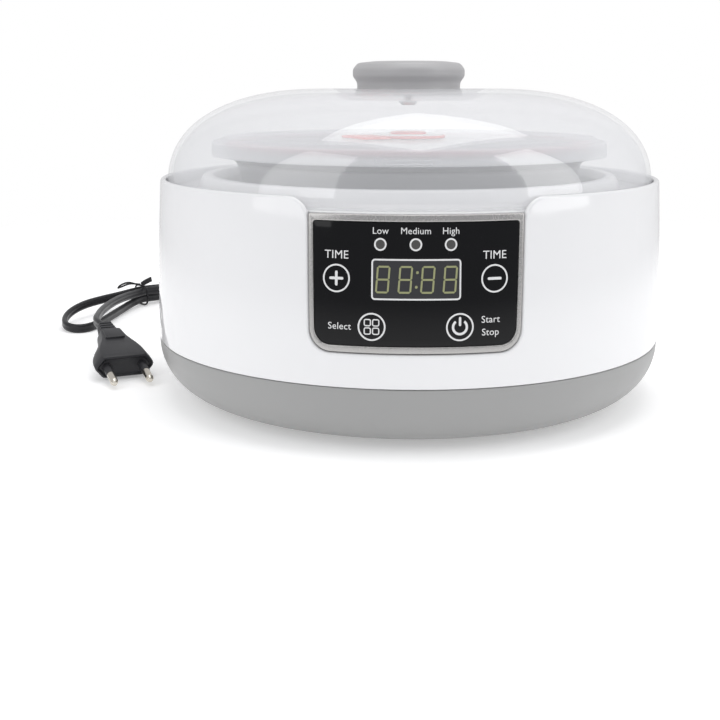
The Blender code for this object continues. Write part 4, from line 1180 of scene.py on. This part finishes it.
class YOGURT_OT_lid(bpy.types.Operator):
    """Models the pot's lid with its gasket and vent valve"""
    bl_idname = "yogurt.lid"
    bl_label = "Pot lid"

    def execute(self, context):
        sizes = settings().vessels
        sides = settings().body.sides
        wide, low, top = LID_HIGH[0] / MM, LID_LOW[2] / MM, LID_HIGH[2] / MM
        under = top - 2.4
        rim = POT_HIGH[2] / MM + 0.3
        seal_low, seal_high = [corner[2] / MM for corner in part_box("lid_gasket")]
        seal_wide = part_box("lid_gasket")[1][0] / MM
        groove = seal_wide + 0.4 - sizes.gasket / MM
        roof = seal_high + 0.3
        profile = [(3.6, under), (3.6, top - 1.0), (70.5, top - 1.0, 1.5), (73.5, top, 1.5),
                   (87.4, top, 1.2), (89.6, top - 1.5, 1.2), (wide - 0.6, top - 1.9, 1.0),
                   (wide, low, 0.4), (wide - 1.7, low, 0.4), (wide - 2.0, rim, 0.4), (87.4, rim, 0.3),
                   (seal_wide + 0.4, roof, 0.4), (groove, roof, 0.4),
                   (groove - 0.6, seal_high - 2.0, 0.5), (groove - 2.2, seal_high - 2.0, 0.5),
                   (groove - 3.4, under, 0.8)]
        turned("lid_disc", rounded(in_mm(profile), 4), "lid", "lid", ("pot_lid",), sides=sides)
        ring = [(groove + 0.3, seal_high, 0.3), (groove + 0.5, seal_low + 0.8, 0.8),
                (groove + 2.6, seal_low, 1.0), (seal_wide - 0.2, seal_low + 1.4, 1.0),
                (seal_wide, seal_high, 0.3)]
        turned("lid_seal", rounded(in_mm(ring), 4, closed=True), "gasket", "lid", ("lid_gasket",),
               sides=sides)
        self.valve(sizes)
        return {"FINISHED"}

    def valve(self, sizes):
        """Vent valve: a red skirt and button, its pull tab, and a white ring set between them."""
        low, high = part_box("vent_valve")
        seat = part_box("valve_ring")[0][2] / MM - 1.1
        top = high[2] / MM
        ring_out, ring_in = sizes.ring / MM, 8.9
        skirt = seat + 0.8
        profile = [(0.0, low[2] / MM), (3.2, low[2] / MM, 0.4), (3.2, seat), (17.6, seat, 0.3),
                   (17.6, skirt + 0.5, 0.35), (ring_out + 0.2, skirt + 0.5, 0.2), (ring_out + 0.1, skirt),
                   (8.6, skirt), (8.6, top - 0.3, 0.9), (6.6, top, 1.2), (0.0, top - 0.4)]
        bm = bmesh.new()
        add_turned(bm, rounded(in_mm(profile), 3), 64)
        tab = bmesh.new()
        outline = in_mm([(10.0, -8.0), (17.0, -13.6, 2.0), (29.0, -13.0, 1.0), (28.4, 0.0, 8.0),
                         (29.0, 13.0, 1.0), (17.0, 13.6, 2.0), (10.0, 8.0)])
        add_slab(tab, rounded(outline, 4, closed=True), 0.0, 1.1 * MM)
        edges = [e for e in tab.edges if abs(e.verts[0].co.y - e.verts[1].co.y) < MERGE]
        round_edges(tab, edges, 0.3 * MM, 2)
        lay_flat = Matrix(((1, 0, 0, 0), (0, 0, 1, 0), (0, 1, 0, 0), (0, 0, 0, 1)))
        place = Matrix.Rotation(math.radians(205.0), 4, "Z") @ Matrix.Translation((0, 0, seat * MM))
        bmesh.ops.transform(tab, matrix=place @ lay_flat, verts=tab.verts)
        join(bm, tab)
        publish("valve_plug", bm, "valve", "valve", ("vent_valve",))
        ring = [(ring_in, skirt + 0.2), (ring_out, skirt + 0.2), (ring_out, skirt + 1.0, 0.3),
                (ring_in, skirt + 1.0, 0.3)]
        turned("valve_collar", rounded(in_mm(ring), 3, closed=True), "ring", "valve", ("valve_ring",),
               sides=64)


class YOGURT_OT_jars(bpy.types.Operator):
    """Models the five glass jars"""
    bl_idname = "yogurt.jars"
    bl_label = "Glass jars"

    def execute(self, context):
        wall = settings().vessels.glass / MM
        for i in range(1, JAR_COUNT + 1):
            node = f"glass_jar_{i}"
            low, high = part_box(node)
            tall = (high[2] - low[2]) / MM
            outer = [(0.0, 0.8), (12.0, 0.8, 1.0), (13.5, 0.0, 1.0), (19.0, 0.0, 4.5), (23.4, 9.0, 12.0),
                     (24.9, 27.0, 22.0), (22.6, 45.5, 9.0), (20.9, 51.3, 2.2), (21.3, 52.6, 0.8),
                     (22.6, 53.3, 0.9), (22.6, 56.6, 0.8), (21.5, 57.2, 0.5), (21.6, tall, 0.8)]
            inner = [(19.4, tall, 0.8), (18.8, 51.0, 3.0), (22.6 - wall + 0.2, 44.0, 9.0),
                     (24.9 - wall, 27.0, 22.0), (22.8 - wall, 9.0, 8.0), (17.0, 3.8, 5.0), (0.0, 3.4)]
            profile = [(x, z + low[2] / MM, *r) for x, z, *r in outer + inner]
            turned(f"yogurt_jar_{i}", rounded(in_mm(profile), 6), "jar", f"jar_{i}", (node,),
                   sides=64, centre=middle(node))
        return {"FINISHED"}


# ---------------------------------------------------------------- inner parts

CARRIED = {
    "board": ("power_board", "control_board"),
    "tape": ("transformer",),
    "black": ("heater_relay", "filter_capacitor", "display_module"),
    "blue": ("mains_terminal",),
    "ceramic": ("ptc_heater", "thermal_fuse"),
    "plate": ("temperature_sensor",),
    "clear_led": ("indicator_led_1", "indicator_led_2", "indicator_led_3"),
    "foam": ("key_foam_plus", "key_foam_minus", "key_foam_mode", "key_foam_power"),
}


class YOGURT_OT_inner_parts(bpy.types.Operator):
    """Gives the parts inside the casing their finishes"""
    bl_idname = "yogurt.inner_parts"
    bl_label = "Inner parts"

    def execute(self, context):
        for finish, nodes in CARRIED.items():
            for node in nodes:
                part = bpy.data.objects[node]
                for slot in part.material_slots:
                    slot.material = finish_for(finish)
        return {"FINISHED"}


# ---------------------------------------------------------------- stage

CAMERA_AT = (-0.01696, -0.53373, 0.1449)
CAMERA_TURN = tuple(map(math.radians, (76.0, 0.0, 0.63)))
AIM_HEIGHT = 0.07                  # where the top light points, above the floor
# Soft boxes: place, size, radiance, and whether they stand upright
SOFT_BOXES = {
    "top_box": ((0.08, 0.1, 1.5), (1.0, 1.2), 1.9, False),
    "left_box": ((-0.552, -0.477, 0.60), (0.46, 1.0), 1.5, True),
    "right_box": ((0.714, -0.362, 0.60), (0.40, 1.0), 2.2, True),
}


class YOGURT_OT_stage(bpy.types.Operator):
    """Makes the floor, the soft lights and the camera"""
    bl_idname = "yogurt.stage"
    bl_label = "Stage"

    def execute(self, context):
        self.floor()
        self.room(context.scene)
        for name, values in SOFT_BOXES.items():
            self.soft_box(name, *values)
        camera = bpy.data.cameras.new("camera")
        camera.lens = 55.0
        camera.sensor_width = 36.0
        camera.clip_start = 0.01
        viewer = add_object("camera", camera)
        viewer.location = CAMERA_AT
        viewer.rotation_euler = CAMERA_TURN
        context.scene.camera = viewer
        context.scene.view_settings.view_transform = "Standard"
        return {"FINISHED"}

    def floor(self):
        """A pale floor that fades into the white room."""
        bm = bmesh.new()
        bmesh.ops.create_grid(bm, x_segments=1, y_segments=1, size=6.0)
        mesh = bpy.data.meshes.new("floor")
        bm.to_mesh(mesh)
        bm.free()
        paper, tree, shader, place = blank_material("paper")
        reach = add_node(tree, "ShaderNodeVectorMath", {0: place}, operation="LENGTH").outputs["Value"]
        feed(tree, shader, {
            "Base Color": tint(tree, noise(tree, place, 3.0, 2.0), (0.90, 0.90, 0.90), 0.01),
            "Roughness": 0.9,
            "Specular IOR Level": 0.1,
            "Emission Color": (1.0, 1.0, 1.0, 1.0),
            "Emission Strength": 0.28,
            "Alpha": remap(tree, reach, 0.30, 0.80, 1.0, 0.0, interpolation_type="SMOOTHSTEP"),
        })
        mesh.materials.append(paper)
        add_object("floor", mesh)

    def room(self, scene):
        """White room, a little darker towards the front, so that gloss and steel show their shape."""
        world = bpy.data.worlds.new("room")
        world.use_nodes = True
        tree = world.node_tree
        way = add_node(tree, "ShaderNodeTexCoord").outputs["Generated"]
        split = add_node(tree, "ShaderNodeSeparateXYZ", {0: way}).outputs
        front = remap(tree, split["Y"], -0.85, -0.15, 0.0, 1.0, interpolation_type="SMOOTHSTEP")
        shade = mix(tree, front, (0.47, 0.48, 0.50, 1.0), (0.66, 0.66, 0.67, 1.0))
        seen = add_node(tree, "ShaderNodeLightPath").outputs["Is Camera Ray"]
        feed(tree, tree.nodes["Background"], {"Color": mix(tree, seen, shade, (1.0, 1.0, 1.0, 1.0))})
        scene.world = world

    def soft_box(self, name, place, size, radiance, upright):
        """A rectangular light aimed at the machine."""
        light = bpy.data.lights.new(name, "AREA")
        light.shape = "RECTANGLE"
        light.size, light.size_y = size
        light.energy = radiance * math.pi * size[0] * size[1]
        holder = add_object(name, light)
        holder.location = place
        aim = Vector((0.0, 0.0, place[2] if upright else AIM_HEIGHT)) - Vector(place)
        holder.rotation_euler = aim.to_track_quat("-Z", "Y").to_euler()


class YOGURT_PT_sidebar(bpy.types.Panel):
    """Sizes, colours and makers of the yogurt maker"""
    bl_idname = "YOGURT_PT_sidebar"
    bl_label = "Yogurt Maker"
    bl_space_type = "VIEW_3D"
    bl_region_type = "UI"
    bl_category = "Yogurt Maker"

    def draw(self, context):
        layout = self.layout
        made = settings()
        for title, group in (("Body", made.body), ("Panel", made.panel), ("Vessels", made.vessels),
                             ("Lead", made.lead), ("Finishes", made.finishes)):
            box = layout.box()
            box.label(text=title)
            for key in group.__annotations__:
                box.prop(group, key)
        for operator in OPERATORS:
            layout.operator(operator.bl_idname)


GROUPS = (BodySizes, PanelSizes, VesselSizes, LeadSizes, Finishes, YogurtMakerSettings)
OPERATORS = (YOGURT_OT_stage, YOGURT_OT_mains_lead, YOGURT_OT_base, YOGURT_OT_shell,
             YOGURT_OT_control_panel, YOGURT_OT_dome, YOGURT_OT_pot, YOGURT_OT_lid, YOGURT_OT_jars,
             YOGURT_OT_inner_parts)


def register():
    for item in GROUPS + OPERATORS + (YOGURT_PT_sidebar,):
        bpy.utils.register_class(item)
    bpy.types.Scene.yogurt_maker = PointerProperty(type=YogurtMakerSettings)


def unregister():
    del bpy.types.Scene.yogurt_maker
    for item in reversed(GROUPS + OPERATORS + (YOGURT_PT_sidebar,)):
        bpy.utils.unregister_class(item)


def main():
    register()
    bpy.ops.yogurt.stage()
    bpy.ops.yogurt.mains_lead()
    bpy.ops.yogurt.base()
    bpy.ops.yogurt.shell()
    bpy.ops.yogurt.control_panel()
    bpy.ops.yogurt.dome()
    bpy.ops.yogurt.pot()
    bpy.ops.yogurt.lid()
    bpy.ops.yogurt.jars()
    bpy.ops.yogurt.inner_parts()


if __name__ == "__main__":
    main()
